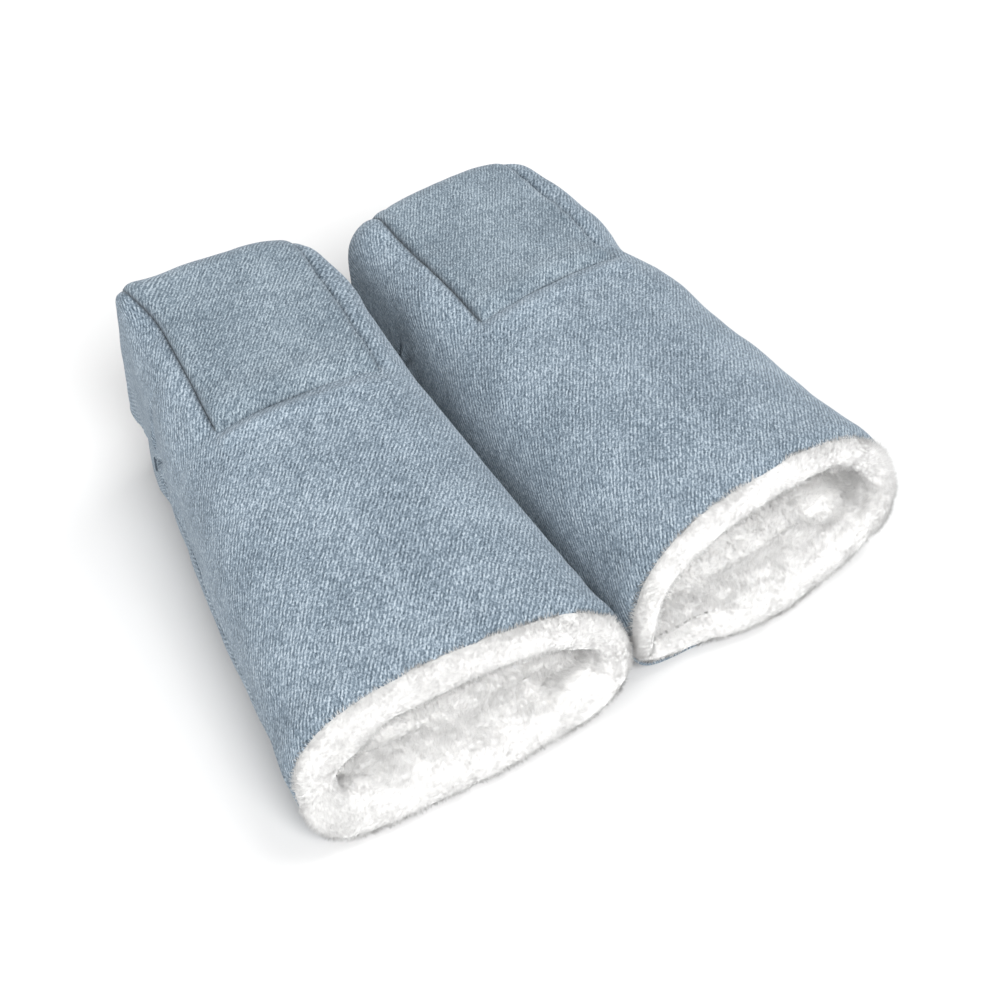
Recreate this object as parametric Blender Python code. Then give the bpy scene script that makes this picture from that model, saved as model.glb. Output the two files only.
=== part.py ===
"""A pair of padded stroller hand muffs, lying side by side with their wrist openings towards -Y.

Each muff is a quilted bag: a body, a head with a let-in crown, and a mouth across the front of the
head that the handlebar goes through. Shell, wadding and plush lining are separate layers, and the
panels of each layer meet at the seams. A cloth tab with two press studs closes the mouth in front.
"""
import math

import bmesh
import bpy
import numpy as np
from mathutils import Matrix, Vector

# The pair
PAIR_GAP = 0.0016
PAIR_STAGGER = 0.0034
TOE_IN = math.radians(4.0)

# Layers, from the outside in
SHELL = 0.0016
WADDING = 0.0030
PLUSH = 0.0070
LAYER_GAP = 0.0004
SEAM_GAP = 0.0003

# Body: wrist opening to crease
WRIST_WIDTH = 0.1830
BODY_LENGTH = 0.1840
WRIST_SEAM_HEIGHT = 0.0350
BODY_HUMP = 0.0020
LEFT_WRIST_HEIGHT = 0.0690
LEFT_WRIST_SETBACK = 0.0230
LEFT_CREASE_WIDTH = 0.1490
LEFT_CREASE_HEIGHT = 0.1061
RIGHT_WRIST_HEIGHT = 0.0920
RIGHT_WRIST_SETBACK = 0.0155
RIGHT_CREASE_WIDTH = 0.1550
RIGHT_CREASE_HEIGHT = 0.1065

# Head: crease to nose
HEAD_LENGTH = 0.1092
CROWN_WIDTH = 0.0941
CROWN_NOSE_WIDTH = 0.0870
NOSE_ROUND = 0.0136
NOSE_LEAN = 0.0053
CORNER_DEPTH = 0.0200
LEFT_HEAD_WIDTH = 0.1242
LEFT_HEAD_HEIGHT = 0.1270
RIGHT_HEAD_WIDTH = 0.1385
RIGHT_HEAD_HEIGHT = 0.1142

# Mouth: the slot between the hem of the head and the lip of the jaw
MOUTH_HEIGHT = 0.0500
TACK_REACH = 0.0460
SLOT_GAP = 0.0120
SLOT_ROUND = 0.0100
JAW_SETBACK = 0.0015
JAW_ROUND = 0.0220
JAW_TUCK = 0.0060

# Wrist cuff
CUFF_REACH = 0.0100
CUFF_WALL = 0.0145

# Closure tab on the front of the head
TAB_WIDTH = 0.0600
TAB_HEIGHT = 0.0460
TAB_CLOTH = 0.0014
TAB_FACING = 0.0010
TAB_ROOT_HEIGHT = 0.0330
TAB_ANCHOR_HEIGHT = 0.0090
TAB_CLEARANCE = 0.0005
TAB_TAPER_SHARE = 0.35
TAB_TAPER_POWER = 6

# Press studs
SNAP_SPACING = 0.0340
SNAP_FROM_HINGE = 0.0330
CAP_RADIUS = 0.0062
CAP_THICK = 0.0012
CAP_DOME_SHARES = ((0.86, 0.75), (0.50, 1.00))
BARREL_RADIUS = 0.0020
SOCKET_RADIUS = 0.0058
SOCKET_THICK = 0.0026
SOCKET_FLOOR = 0.0008
KNOB_RADIUS = 0.0028
KNOB_LENGTH = 0.0014
STUD_RADIUS = 0.0054
STUD_FLANGE = 0.0008
POST_THICK = 0.0008
SNAP_CLEARANCE = 0.0003
POST_CLEARANCE = 0.0006

# Bar tacks
TACK_LENGTH = 0.0090
TACK_WIDTH = 0.0024
TACK_THICK = 0.0010
TACK_BEVEL = 0.00025

# How square the cross-sections are: reach of the curve's handles, as shares of its width and height
TOP_SHARES = {"wrist": (0.70, 0.66), "crease": (0.76, 0.755), "nose": (0.89, 0.84)}
TOP_FLAT_SHARE = 0.31
BOTTOM_SHARES = (0.88, 0.80)
FLAT_SHARE = 0.62

# Number of strips in each stretch of the panels
BODY_STRIPS = 7
TACK_STRIPS = 2
TOP_STRIPS = 2
CORNER_STRIPS = 3
NOSE_STRIPS = 2
JAW_STRIPS = 5
ARM_COLUMNS = 3
CROWN_COLUMNS = 3
WALL_COLUMNS = 3
FLOOR_COLUMNS = 2
CUFF_STRIPS = 6
TAB_STRIPS = 8
TAB_COLUMNS = 6
CURVE_STEPS = 60
ROUND_SIDES = 16
# Stations count the stretches from the wrist: the crease ends the first and the tack the second
CREASE_STATION = 1
TACK_STATION = 2

SHARP_ANGLE = math.radians(40)
WELD_DISTANCE = 0.00001

TACK_Y = BODY_LENGTH + TACK_REACH
NOSE_Y = BODY_LENGTH + HEAD_LENGTH
HEM_Y = NOSE_Y - NOSE_LEAN
JAW_Y = HEM_Y - JAW_SETBACK
LIP_HEIGHT = MOUTH_HEIGHT - SLOT_GAP
WADDING_TOP = SHELL + LAYER_GAP
PLUSH_TOP = WADDING_TOP + WADDING + LAYER_GAP
LAYERS = {
    "shell": (0.0, SHELL),
    "wadding": (WADDING_TOP, WADDING_TOP + WADDING),
    "lining": (PLUSH_TOP, PLUSH_TOP + PLUSH),
}

MATERIALS = {
    "melange_cloth": ((0.305, 0.380, 0.447), 0.92, 0.0),
    "tab_cloth": ((0.250, 0.320, 0.385), 0.90, 0.0),
    "wadding": ((0.780, 0.780, 0.760), 1.00, 0.0),
    "plush": ((0.860, 0.850, 0.830), 1.00, 0.0),
    "snap_metal": ((0.420, 0.430, 0.440), 0.35, 1.0),
    "tack_thread": ((0.060, 0.075, 0.090), 0.80, 0.0),
}


def lerp(start, end, share):
    return start + (end - start) * share


def smooth(share):
    share = min(max(share, 0.0), 1.0)
    return share * share * (3 - 2 * share)


def bezier(handles, count):
    """Points of a cubic curve through its first and last handle."""
    t = np.linspace(0, 1, count)
    a, b, c, d = handles
    return (1 - t) ** 3 * a + 3 * (1 - t) ** 2 * t * b + 3 * (1 - t) * t ** 2 * c + t ** 3 * d


class Path:
    """A line of straight runs and one round corner in the YZ plane, walked by share of its length."""

    def __init__(self, start, corner, end, radius):
        start, corner, end = (np.array(point, float) for point in (start, corner, end))
        first, last = corner - start, end - corner
        first_way, last_way = first / np.linalg.norm(first), last / np.linalg.norm(last)
        turn = math.acos(float(np.dot(first_way, last_way)))
        cut = radius * math.tan(turn / 2)
        self.first = (start, first_way, np.linalg.norm(first) - cut)
        self.last = (corner + last_way * cut, last_way, np.linalg.norm(last) - cut)
        self.radius, self.turn = radius, turn
        self.side = math.copysign(1.0, first_way[0] * last_way[1] - first_way[1] * last_way[0])
        self.length = self.first[2] + radius * turn + self.last[2]

    def at(self, share):
        """Point and outward normal, the outside being away from the corner's centre."""
        run = share * self.length
        start, way, reach = self.first
        if run <= reach:
            return start + way * run, self.outward(way)
        run -= reach
        if run <= self.radius * self.turn:
            outward = self.outward(way)
            centre = start + way * reach - outward * self.radius
            angle = self.side * run / self.radius
            spun = np.array([outward[0] * math.cos(angle) - outward[1] * math.sin(angle),
                             outward[0] * math.sin(angle) + outward[1] * math.cos(angle)])
            return centre + spun * self.radius, spun
        start, way, _ = self.last
        return start + way * (run - self.radius * self.turn), self.outward(way)

    def outward(self, way):
        return np.array([way[1], -way[0]]) * self.side


class Rib:
    """Half a cross-section, from the side point to the middle, walked by its length."""

    def __init__(self, side, middle, half_width, shares, flat_share=0.0):
        across, rise = shares
        wide = bezier((half_width, half_width, across * half_width, flat_share * half_width), CURVE_STEPS)
        high = bezier((0.0, rise, 1.0, 1.0), CURVE_STEPS)
        if flat_share > 0:
            wide, high = np.append(wide, 0.0), np.append(high, 1.0)
        plane = side[None, :] + high[:, None] * (middle - side)[None, :]
        self.points = np.column_stack([wide, plane])
        steps = np.linalg.norm(np.diff(self.points, axis=0), axis=1)
        self.runs = np.concatenate([[0.0], np.cumsum(steps)])
        self.length = self.runs[-1]

    def at(self, run):
        return np.array([np.interp(run, self.runs, self.points[:, i]) for i in range(3)])

    def run_at_width(self, width):
        return float(np.interp(-width, -self.points[:, 0], self.runs))


class Muff:
    """One muff's sizes in its own frame: wrist at y = 0, head towards +Y, floor at z = 0."""

    def __init__(self, side, wrist_height, wrist_setback, crease_width, crease_height,
                 head_width, head_height):
        self.side = side
        self.wrist_height, self.wrist_setback = wrist_height, wrist_setback
        self.crease_width, self.crease_height = crease_width, crease_height
        self.head_width = head_width
        self.top = Path((BODY_LENGTH, crease_height), (NOSE_Y, head_height), (HEM_Y, MOUTH_HEIGHT),
                        NOSE_ROUND)
        self.floor = Path((TACK_Y, 0.0), (JAW_Y, 0.0), (JAW_Y, LIP_HEIGHT), JAW_ROUND)
        forward = float(self.top.first[1][0])
        self.tack_share = TACK_REACH / (self.top.length * forward)

    def half_width(self, y):
        if y <= BODY_LENGTH:
            return lerp(WRIST_WIDTH, self.crease_width, y / BODY_LENGTH) / 2
        share = (y - BODY_LENGTH) / (HEM_Y - CORNER_DEPTH - BODY_LENGTH)
        return lerp(self.crease_width, self.head_width, smooth(share)) / 2

    def lean(self, z, share):
        """How far the wrist opening's slant moves a point at height z, fading out at the crease."""
        return self.wrist_setback * z / self.wrist_height * max(1 - share, 0.0)

    def seam_point(self, station):
        """Side seam from the wrist, station 0, through the crease to the tack."""
        past = max(station - CREASE_STATION, 0)
        y = BODY_LENGTH + past * TACK_REACH if past > 0 else station * BODY_LENGTH
        z = lerp(WRIST_SEAM_HEIGHT, MOUTH_HEIGHT, y / TACK_Y)
        return np.array([y + self.lean(z, station), z])

    def body_rib(self, share, depth):
        """Upper half of the body, share 0 at the wrist and 1 at the crease."""
        hump = 4 * BODY_HUMP * share * (1 - share)
        z = lerp(self.wrist_height, self.crease_height, share) + hump - depth
        y = share * BODY_LENGTH
        shares = [lerp(a, b, share) for a, b in zip(TOP_SHARES["wrist"], TOP_SHARES["crease"])]
        middle = np.array([y + self.lean(z, share), z])
        return Rib(self.seam_point(share), middle, self.half_width(y) - depth, shares)

    def head_rib(self, share, depth):
        """Upper half of the head, share 0 at the crease and 1 at the hem of the nose."""
        middle, outward = self.top.at(share)
        if share <= self.tack_share:
            side = self.seam_point(1 + share / self.tack_share)
        else:
            rest = (share - self.tack_share) / (1 - self.tack_share)
            side = np.array([lerp(TACK_Y, HEM_Y - CORNER_DEPTH, rest), MOUTH_HEIGHT])
        square = smooth(share / self.tack_share)
        shares = [lerp(a, b, square) for a, b in zip(TOP_SHARES["crease"], TOP_SHARES["nose"])]
        half = self.half_width(side[0]) - depth
        return Rib(side, middle - outward * depth, half, shares, square * TOP_FLAT_SHARE)

    def floor_rib(self, station, depth):
        """Lower half at a station between the wrist and the tack."""
        side = self.seam_point(station)
        y = station * BODY_LENGTH if station <= CREASE_STATION else side[0]
        middle = np.array([y + self.lean(depth, station), depth])
        return Rib(side, middle, self.half_width(y) - depth, BOTTOM_SHARES, FLAT_SHARE)

    def jaw_rib(self, share, depth):
        """Lower half past the tack, share 0 at the tack and 1 at the front lip."""
        middle, outward = self.floor.at(share)
        side_y = lerp(TACK_Y, JAW_Y - CORNER_DEPTH, share)
        drop = SLOT_GAP * smooth((side_y - TACK_Y) / SLOT_ROUND)
        side = np.array([side_y, MOUTH_HEIGHT - drop])
        half = self.half_width(side_y) - lerp(0.0, JAW_TUCK, smooth(share)) - depth
        return Rib(side, middle - outward * depth, half, BOTTOM_SHARES, FLAT_SHARE)

    def crown_half(self, station_width, depth, share=0.0):
        """Half width of the crown panel at a share of the head, or its line carried on over the body
        where the section is station_width wide."""
        half = lerp(CROWN_WIDTH, CROWN_NOSE_WIDTH, share) / 2 * station_width / self.crease_width
        return half * (station_width / 2 - depth) / (station_width / 2)


def mirrored_row(half):
    """A row from the left side to the right from its right half, listed side to middle."""
    left = [point * np.array([-1.0, 1.0, 1.0]) for point in half]
    return left + half[-2::-1]


def upper_half(rib, mark, inset):
    """Half a row of the upper panel: arm columns up to the crown seam, then crown columns."""
    arm = [rib.at(lerp(inset, mark - inset, i / ARM_COLUMNS)) for i in range(ARM_COLUMNS + 1)]
    crown = [rib.at(lerp(mark, rib.length, i / CROWN_COLUMNS)) for i in range(1, CROWN_COLUMNS + 1)]
    return arm, crown


def crown_row(rib, mark, inset):
    half = [rib.at(lerp(mark + inset, rib.length, i / CROWN_COLUMNS)) for i in range(CROWN_COLUMNS + 1)]
    return mirrored_row(half)


def under_row(rib, inset):
    """A row of the under panel: side wall columns, then columns on the flat of the floor."""
    flat = float(rib.runs[-2])
    half = [rib.at(lerp(inset, flat, i / WALL_COLUMNS)) for i in range(WALL_COLUMNS + 1)]
    half += [rib.at(lerp(flat, rib.length, i / FLOOR_COLUMNS)) for i in range(1, FLOOR_COLUMNS + 1)]
    return mirrored_row(half)


def head_shares(muff):
    """Places of the strips along the head: up to the tack, to the nose's corner, round it, to the hem."""
    path = muff.top
    corner = path.first[2] / path.length
    past = corner + path.radius * path.turn / path.length
    shares = [lerp(0.0, muff.tack_share, i / TACK_STRIPS) for i in range(TACK_STRIPS)]
    shares += [lerp(muff.tack_share, corner, i / TOP_STRIPS) for i in range(TOP_STRIPS)]
    shares += [lerp(corner, past, i / CORNER_STRIPS) for i in range(CORNER_STRIPS)]
    shares += [lerp(past, 1.0, i / NOSE_STRIPS) for i in range(NOSE_STRIPS)]
    return shares + [1.0]


def upper_grid(muff, depth):
    """Rows of the upper panel. Rows past the crease hold only the two arms, None between them."""
    inset = SEAM_GAP / 2
    rows = []
    for i in range(BODY_STRIPS + 1):
        share = i / BODY_STRIPS
        rib = muff.body_rib(share, depth)
        width = 2 * muff.half_width(share * BODY_LENGTH)
        mark = rib.run_at_width(muff.crown_half(width, depth))
        arm, crown = upper_half(rib, mark, inset)
        if i == BODY_STRIPS:
            crown = [point - np.array([0.0, inset, 0.0]) for point in crown]
        rows.append(mirrored_row(arm + crown))
    for share in head_shares(muff)[1:]:
        rib = muff.head_rib(share, depth)
        mark = rib.run_at_width(muff.crown_half(muff.crease_width, depth, share))
        arm, crown = upper_half(rib, mark, inset)
        rows.append(arms_only(arm, len(crown)))
    return rows


def arms_only(arm, crown_count):
    left = [point * np.array([-1.0, 1.0, 1.0]) for point in arm]
    return left + [None] * (2 * crown_count - 1) + arm[::-1]


def crown_grid(muff, depth):
    inset = SEAM_GAP / 2
    rows = []
    for share in head_shares(muff):
        rib = muff.head_rib(share, depth)
        mark = rib.run_at_width(muff.crown_half(muff.crease_width, depth, share))
        row = crown_row(rib, mark, inset)
        if share == 0:
            row = [point + np.array([0.0, inset, 0.0]) for point in row]
        rows.append(row)
    return rows


def under_grid(muff, depth):
    inset = SEAM_GAP / 2
    stations = [i / BODY_STRIPS for i in range(BODY_STRIPS + 1)]
    stations += [CREASE_STATION + i / TACK_STRIPS for i in range(1, TACK_STRIPS + 1)]
    rows = [under_row(muff.floor_rib(station, depth), inset) for station in stations]
    for i in range(1, JAW_STRIPS + 1):
        rows.append(under_row(muff.jaw_rib(i / JAW_STRIPS, depth), inset))
    return rows


def thick_panel(name, outer, inner, material, flip=False):
    """A closed sheet between two grids of the same size, None marking places without cloth."""
    mesh = bmesh.new()
    sheets = []
    for grid in (outer, inner):
        sheets.append([[None if p is None else mesh.verts.new(p) for p in row] for row in grid])
    edges = {}
    for rows, turned in ((sheets[0], flip), (sheets[1], not flip)):
        for j in range(len(rows) - 1):
            for i in range(len(rows[0]) - 1):
                a, b = rows[j][i], rows[j][i + 1]
                c, d = rows[j + 1][i + 1], rows[j + 1][i]
                if None in (a, b, c, d):
                    continue
                for face in ((a, b, c), (a, c, d)):
                    mesh.faces.new(face[::-1] if turned else face)
                if rows is sheets[0]:
                    for start, end in (((j, i), (j, i + 1)), ((j, i + 1), (j + 1, i + 1)),
                                       ((j + 1, i + 1), (j + 1, i)), ((j + 1, i), (j, i))):
                        if (end, start) in edges:
                            del edges[(end, start)]
                        else:
                            edges[(start, end)] = True
    for start, end in edges:
        a, b = sheets[0][start[0]][start[1]], sheets[0][end[0]][end[1]]
        c, d = sheets[1][end[0]][end[1]], sheets[1][start[0]][start[1]]
        for face in ((b, a, d), (b, d, c)):
            mesh.faces.new(face[::-1] if flip else face)
    return finish_mesh(name, mesh, material)


def finish_mesh(name, mesh, material):
    """Make an object of a bmesh, shaded smooth up to sharp creases."""
    bmesh.ops.remove_doubles(mesh, verts=mesh.verts, dist=WELD_DISTANCE)
    loose = [vert for vert in mesh.verts if not vert.link_faces]
    bmesh.ops.delete(mesh, geom=loose, context="VERTS")
    data = bpy.data.meshes.new(name)
    mesh.to_mesh(data)
    mesh.free()
    data.shade_smooth()
    data.set_sharp_from_angle(angle=SHARP_ANGLE)
    data.materials.append(material)
    obj = bpy.data.objects.new(name, data)
    bpy.context.scene.collection.objects.link(obj)
    return obj


def build_panels(muff, materials, parent):
    """Shell, wadding and lining, each cut as upper, crown and under panel."""
    grids = {"upper": upper_grid, "crown": crown_grid, "under": under_grid}
    cloth = {"shell": "melange_cloth", "wadding": "wadding", "lining": "plush"}
    made = {}
    for layer, (high, low) in LAYERS.items():
        for panel, grid in grids.items():
            name = f"{muff.side}_{panel}_{layer}"
            outer, inner = grid(muff, high), grid(muff, low)
            obj = thick_panel(name, outer, inner, materials[cloth[layer]], panel == "under")
            obj.parent = parent
            made[panel + "_" + layer] = obj
    return made


def cuff_profile():
    """Half-round roll in front of the hem, as pairs of depth and forward reach."""
    half = CUFF_WALL / 2
    points = []
    for i in range(CUFF_STRIPS + 1):
        angle = math.pi * i / CUFF_STRIPS
        points.append((half - half * math.cos(angle), SEAM_GAP + CUFF_REACH * math.sin(angle)))
    return points


def build_cuff(muff, materials, parent):
    """The plush roll: the profile carried round the wrist opening."""
    loops = []
    for depth, reach in cuff_profile():
        upper = muff.body_rib(0.0, depth)
        mark = upper.run_at_width(muff.crown_half(WRIST_WIDTH, depth))
        arm, crown = upper_half(upper, mark, 0.0)
        top = mirrored_row(arm + crown)
        bottom = under_row(muff.floor_rib(0.0, depth), 0.0)
        loop = top + bottom[-2:0:-1]
        loops.append([point - np.array([0.0, reach, 0.0]) for point in loop])
    mesh = bmesh.new()
    rings = [[mesh.verts.new(point) for point in loop] for loop in loops]
    for ring, following in zip(rings, rings[1:] + rings[:1]):
        for i in range(len(ring)):
            k = (i + 1) % len(ring)
            for face in ((ring[i], following[i], following[k]), (ring[i], following[k], ring[k])):
                mesh.faces.new(face)
    cuff = finish_mesh(f"{muff.side}_wrist_cuff", mesh, materials["plush"])
    cuff.parent = parent
    return cuff


def front_line(muff, z):
    """Foremost y of the head at height z: the jaw below its lip, the nose above its hem."""
    if z <= LIP_HEIGHT:
        return JAW_Y
    if z <= MOUTH_HEIGHT:
        return lerp(JAW_Y, HEM_Y, (z - LIP_HEIGHT) / SLOT_GAP)
    _, way, _ = muff.top.last
    return HEM_Y - way[0] / -way[1] * (z - MOUTH_HEIGHT)


def stud_seat(muff):
    """Point of the nose under the right press stud, and the nose's outward normal there."""
    climb = TAB_ROOT_HEIGHT + SNAP_FROM_HINGE - MOUTH_HEIGHT
    _, way, _ = muff.top.last
    rib = muff.head_rib(1 - climb / -way[1] / muff.top.length, 0.0)
    return rib.at(rib.run_at_width(SNAP_SPACING / 2)), muff.top.outward(way)


def tab_lift(muff):
    """Room that a closed press stud takes in front of the nose's foremost line."""
    seat, _ = stud_seat(muff)
    stack = 3 * SNAP_CLEARANCE + STUD_FLANGE + SOCKET_THICK
    return stack - (front_line(muff, seat[2]) - seat[1])


def tab_grid(muff, low, high, offset):
    """The tab's face at `offset` outside its inner face, from height low to high."""
    rows = []
    for j in range(TAB_STRIPS + 1):
        z = lerp(low, high, j / TAB_STRIPS)
        lift = lerp(TAB_CLEARANCE, tab_lift(muff), smooth((z - TAB_ROOT_HEIGHT) / SLOT_GAP))
        y = front_line(muff, z) + lift + offset
        share = max(z - TAB_ROOT_HEIGHT, 0.0) / TAB_HEIGHT
        half = TAB_WIDTH / 2 * (1 - TAB_TAPER_SHARE * share ** TAB_TAPER_POWER)
        across = [lerp(-half, half, i / TAB_COLUMNS) for i in range(TAB_COLUMNS + 1)]
        rows.append([np.array([x, y, z]) for x in across])
    return rows


def lathe(profile, material, name):
    """A turned piece about +Y from (radius, height) pairs that start and end on the axis."""
    mesh = bmesh.new()
    rings = []
    for radius, height in profile:
        if radius == 0:
            rings.append([mesh.verts.new((0, height, 0))])
            continue
        ring = []
        for i in range(ROUND_SIDES):
            angle = 2 * math.pi * i / ROUND_SIDES
            ring.append(mesh.verts.new((radius * math.sin(angle), height, radius * math.cos(angle))))
        rings.append(ring)
    for low, high in zip(rings, rings[1:]):
        for i in range(ROUND_SIDES):
            k = (i + 1) % ROUND_SIDES
            face = [low[i % len(low)], low[k % len(low)], high[k % len(high)], high[i % len(high)]]
            unique = [vert for n, vert in enumerate(face) if vert not in face[:n]]
            mesh.faces.new(unique)
    return finish_mesh(name, mesh, material)


def snap_places(muff):
    """Seats of the two press studs on the nose, left then right, with the normal of each."""
    seat, normal = stud_seat(muff)
    return [(seat * np.array([side, 1.0, 1.0]), normal) for side in (-1, 1)]


def snap_matrix(place, normal, reach):
    """Frame of a piece on the stud's axis, its +Y along the normal."""
    tilt = math.atan2(normal[1], normal[0])
    point = Vector(place) + Vector((0.0, normal[0], normal[1])) * reach
    return Matrix.Translation(point) @ Matrix.Rotation(tilt, 4, "X")


def snap_pair(muff, name, profile, material, reach, parent, origin):
    """The same turned piece at both press studs, the left one numbered 1."""
    for number, (place, normal) in enumerate(snap_places(muff), start=1):
        piece = lathe(profile, material, f"{muff.side}_{name}_{number}")
        piece.data.transform(Matrix.Translation(-Vector(origin)) @ snap_matrix(place, normal, reach))
        piece.parent = parent


def cut_round(obj, muff, radius, reach, length, origin, label):
    """Cut a round hole at each press stud through a cloth layer."""
    for i, (place, normal) in enumerate(snap_places(muff)):
        name = f"{obj.name}_{label}_{i}"
        cutter = lathe([(0, 0), (radius, 0), (radius, length), (0, length)], None, name)
        cutter.data.transform(Matrix.Translation(-Vector(origin)) @ snap_matrix(place, normal, reach))
        cutter.parent = obj.parent
        cutter.hide_render = True
        cutter.display_type = "WIRE"
        boolean = obj.modifiers.new(name, "BOOLEAN")
        boolean.operation = "DIFFERENCE"
        boolean.solver = "EXACT"
        boolean.object = cutter


def build_closure(muff, materials, parent, panels):
    """Tab with its anchor strip and press studs. Returns the hinge's empty."""
    side = muff.side
    face = TAB_CLOTH + LAYER_GAP + TAB_FACING
    hinge_z = TAB_ROOT_HEIGHT
    hinge_y = front_line(muff, hinge_z) + TAB_CLEARANCE + face
    origin = np.array([0.0, hinge_y, hinge_z])
    hinge = bpy.data.objects.new(f"{side}_tab_hinge", None)
    bpy.context.scene.collection.objects.link(hinge)
    hinge.parent = parent
    hinge.location = origin

    def panel(name, low, high, inner, outer, material, shift):
        outside = [[p - shift for p in row] for row in tab_grid(muff, low, high, outer)]
        inside = [[p - shift for p in row] for row in tab_grid(muff, low, high, inner)]
        return thick_panel(name, outside, inside, material, True)

    low, high = hinge_z + SEAM_GAP / 2, hinge_z + TAB_HEIGHT
    tab = panel(f"{side}_closure_tab", low, high, face - TAB_CLOTH, face, materials["tab_cloth"], origin)
    facing = panel(f"{side}_closure_tab_facing", low, high, 0.0, TAB_FACING, materials["tab_cloth"], origin)
    nowhere = np.zeros(3)
    anchor = panel(f"{side}_tab_anchor", hinge_z - TAB_ANCHOR_HEIGHT, hinge_z - SEAM_GAP / 2, 0.0, face,
                   materials["tab_cloth"], nowhere)
    anchor.parent = parent
    for obj in (tab, facing):
        obj.parent = hinge

    flange_at = SNAP_CLEARANCE
    socket_at = flange_at + STUD_FLANGE + SNAP_CLEARANCE
    tab_at = socket_at + SOCKET_THICK + SNAP_CLEARANCE
    cap_at = tab_at + face + SNAP_CLEARANCE
    bore = KNOB_RADIUS + SNAP_CLEARANCE
    hole = BARREL_RADIUS + SNAP_CLEARANCE
    metal = materials["snap_metal"]
    stud = [(0, 0), (STUD_RADIUS, 0), (STUD_RADIUS, STUD_FLANGE), (KNOB_RADIUS, STUD_FLANGE),
            (KNOB_RADIUS, STUD_FLANGE + KNOB_LENGTH), (0, STUD_FLANGE + KNOB_LENGTH)]
    snap_pair(muff, "snap_stud", stud, metal, flange_at, parent, nowhere)
    post_at = SHELL + POST_CLEARANCE
    post = [(0, -POST_THICK), (STUD_RADIUS, -POST_THICK), (STUD_RADIUS, 0), (BARREL_RADIUS, 0),
            (BARREL_RADIUS, post_at), (0, post_at)]
    snap_pair(muff, "snap_post", post, metal, -post_at, parent, nowhere)
    bore_floor = SOCKET_THICK - SOCKET_FLOOR
    socket = [(0, bore_floor), (bore, bore_floor), (bore, 0), (SOCKET_RADIUS, 0),
              (SOCKET_RADIUS, SOCKET_THICK), (0, SOCKET_THICK)]
    snap_pair(muff, "snap_socket", socket, metal, socket_at, hinge, origin)
    through = cap_at - socket_at - SOCKET_THICK - SNAP_CLEARANCE
    cap = [(0, -through), (BARREL_RADIUS, -through), (BARREL_RADIUS, 0), (CAP_RADIUS, 0)]
    cap += [(CAP_RADIUS * out, CAP_THICK * up) for out, up in CAP_DOME_SHARES] + [(0, CAP_THICK)]
    snap_pair(muff, "snap_cap", cap, metal, cap_at, hinge, origin)

    for obj in (tab, facing):
        cut_round(obj, muff, hole, tab_at - face, 3 * face, origin, "hole")
    cut_round(panels["crown_shell"], muff, hole, -2 * SHELL, 4 * SHELL, nowhere, "hole")
    wide = STUD_RADIUS + SNAP_CLEARANCE
    cut_round(panels["crown_wadding"], muff, wide, -PLUSH_TOP - WADDING / 2, PLUSH_TOP + WADDING / 2,
              nowhere, "hole")
    return hinge


def build_tacks(muff, materials, parent):
    """A stitched bar upright at the rear end of each side slot, on the face of the cloth."""
    x, y, z = muff.floor_rib(TACK_STATION, 0.0).at(0.0)
    near, far = muff.half_width(y - 2 * TACK_WIDTH), x
    slope = math.atan2(near - far, 2 * TACK_WIDTH)
    for number, way in enumerate((-1, 1), start=1):
        mesh = bmesh.new()
        place = Vector((way * (near + far) / 2, y - TACK_WIDTH, z))
        turn = Matrix.Rotation(way * slope, 4, "Z")
        lift = Matrix.Translation((way * (SEAM_GAP + TACK_THICK / 2), 0.0, 0.0))
        size = Matrix.Diagonal((TACK_THICK, TACK_WIDTH, TACK_LENGTH, 1.0))
        bmesh.ops.create_cube(mesh, size=1.0, matrix=Matrix.Translation(place) @ turn @ lift @ size)
        bmesh.ops.bevel(mesh, geom=mesh.edges, offset=TACK_BEVEL, segments=1, affect="EDGES")
        tack = finish_mesh(f"{muff.side}_bar_tack_{number}", mesh, materials["tack_thread"])
        tack.parent = parent


def make_materials():
    made = {}
    for name, (colour, roughness, metallic) in MATERIALS.items():
        material = bpy.data.materials.new(name)
        material.use_nodes = True
        shader = material.node_tree.nodes["Principled BSDF"]
        shader.inputs["Base Color"].default_value = (*colour, 1.0)
        shader.inputs["Roughness"].default_value = roughness
        shader.inputs["Metallic"].default_value = metallic
        material.diffuse_color = (*colour, 1.0)
        made[name] = material
    return made


def make_empty(name, location, turn, parent):
    empty = bpy.data.objects.new(name, None)
    bpy.context.scene.collection.objects.link(empty)
    empty.location = location
    empty.rotation_euler = (0.0, 0.0, turn)
    empty.parent = parent
    return empty


def pair_spacing(left, right):
    """Distance between the muffs' middles at the wrist that keeps the gap at their closest place."""
    reach = [NOSE_Y * i / CURVE_STEPS for i in range(CURVE_STEPS + 1)]
    widths = [(left.half_width(y) + right.half_width(y)) * math.cos(TOE_IN) + 2 * y * math.sin(TOE_IN)
              for y in reach]
    return max(widths) + PAIR_GAP


def build_muff(muff, spacing, materials, pair):
    way = 1 if muff.side == "right" else -1
    place = (way * spacing / 2, way * PAIR_STAGGER / 2, 0.0)
    parent = make_empty(f"{muff.side}_muff", place, way * TOE_IN, pair)
    panels = build_panels(muff, materials, parent)
    build_cuff(muff, materials, parent)
    build_closure(muff, materials, parent, panels)
    build_tacks(muff, materials, parent)


def centre_pair(pair):
    """Move the pair so that the middle of its outline in X and Y is the origin."""
    bpy.context.view_layer.update()
    graph = bpy.context.evaluated_depsgraph_get()
    corners = []
    for obj in bpy.context.scene.objects:
        if obj.type == "MESH" and not obj.hide_render:
            shape = obj.evaluated_get(graph)
            corners += [shape.matrix_world @ vert.co for vert in shape.data.vertices]
    for axis in (0, 1):
        values = [corner[axis] for corner in corners]
        pair.location[axis] = -(min(values) + max(values)) / 2


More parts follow.
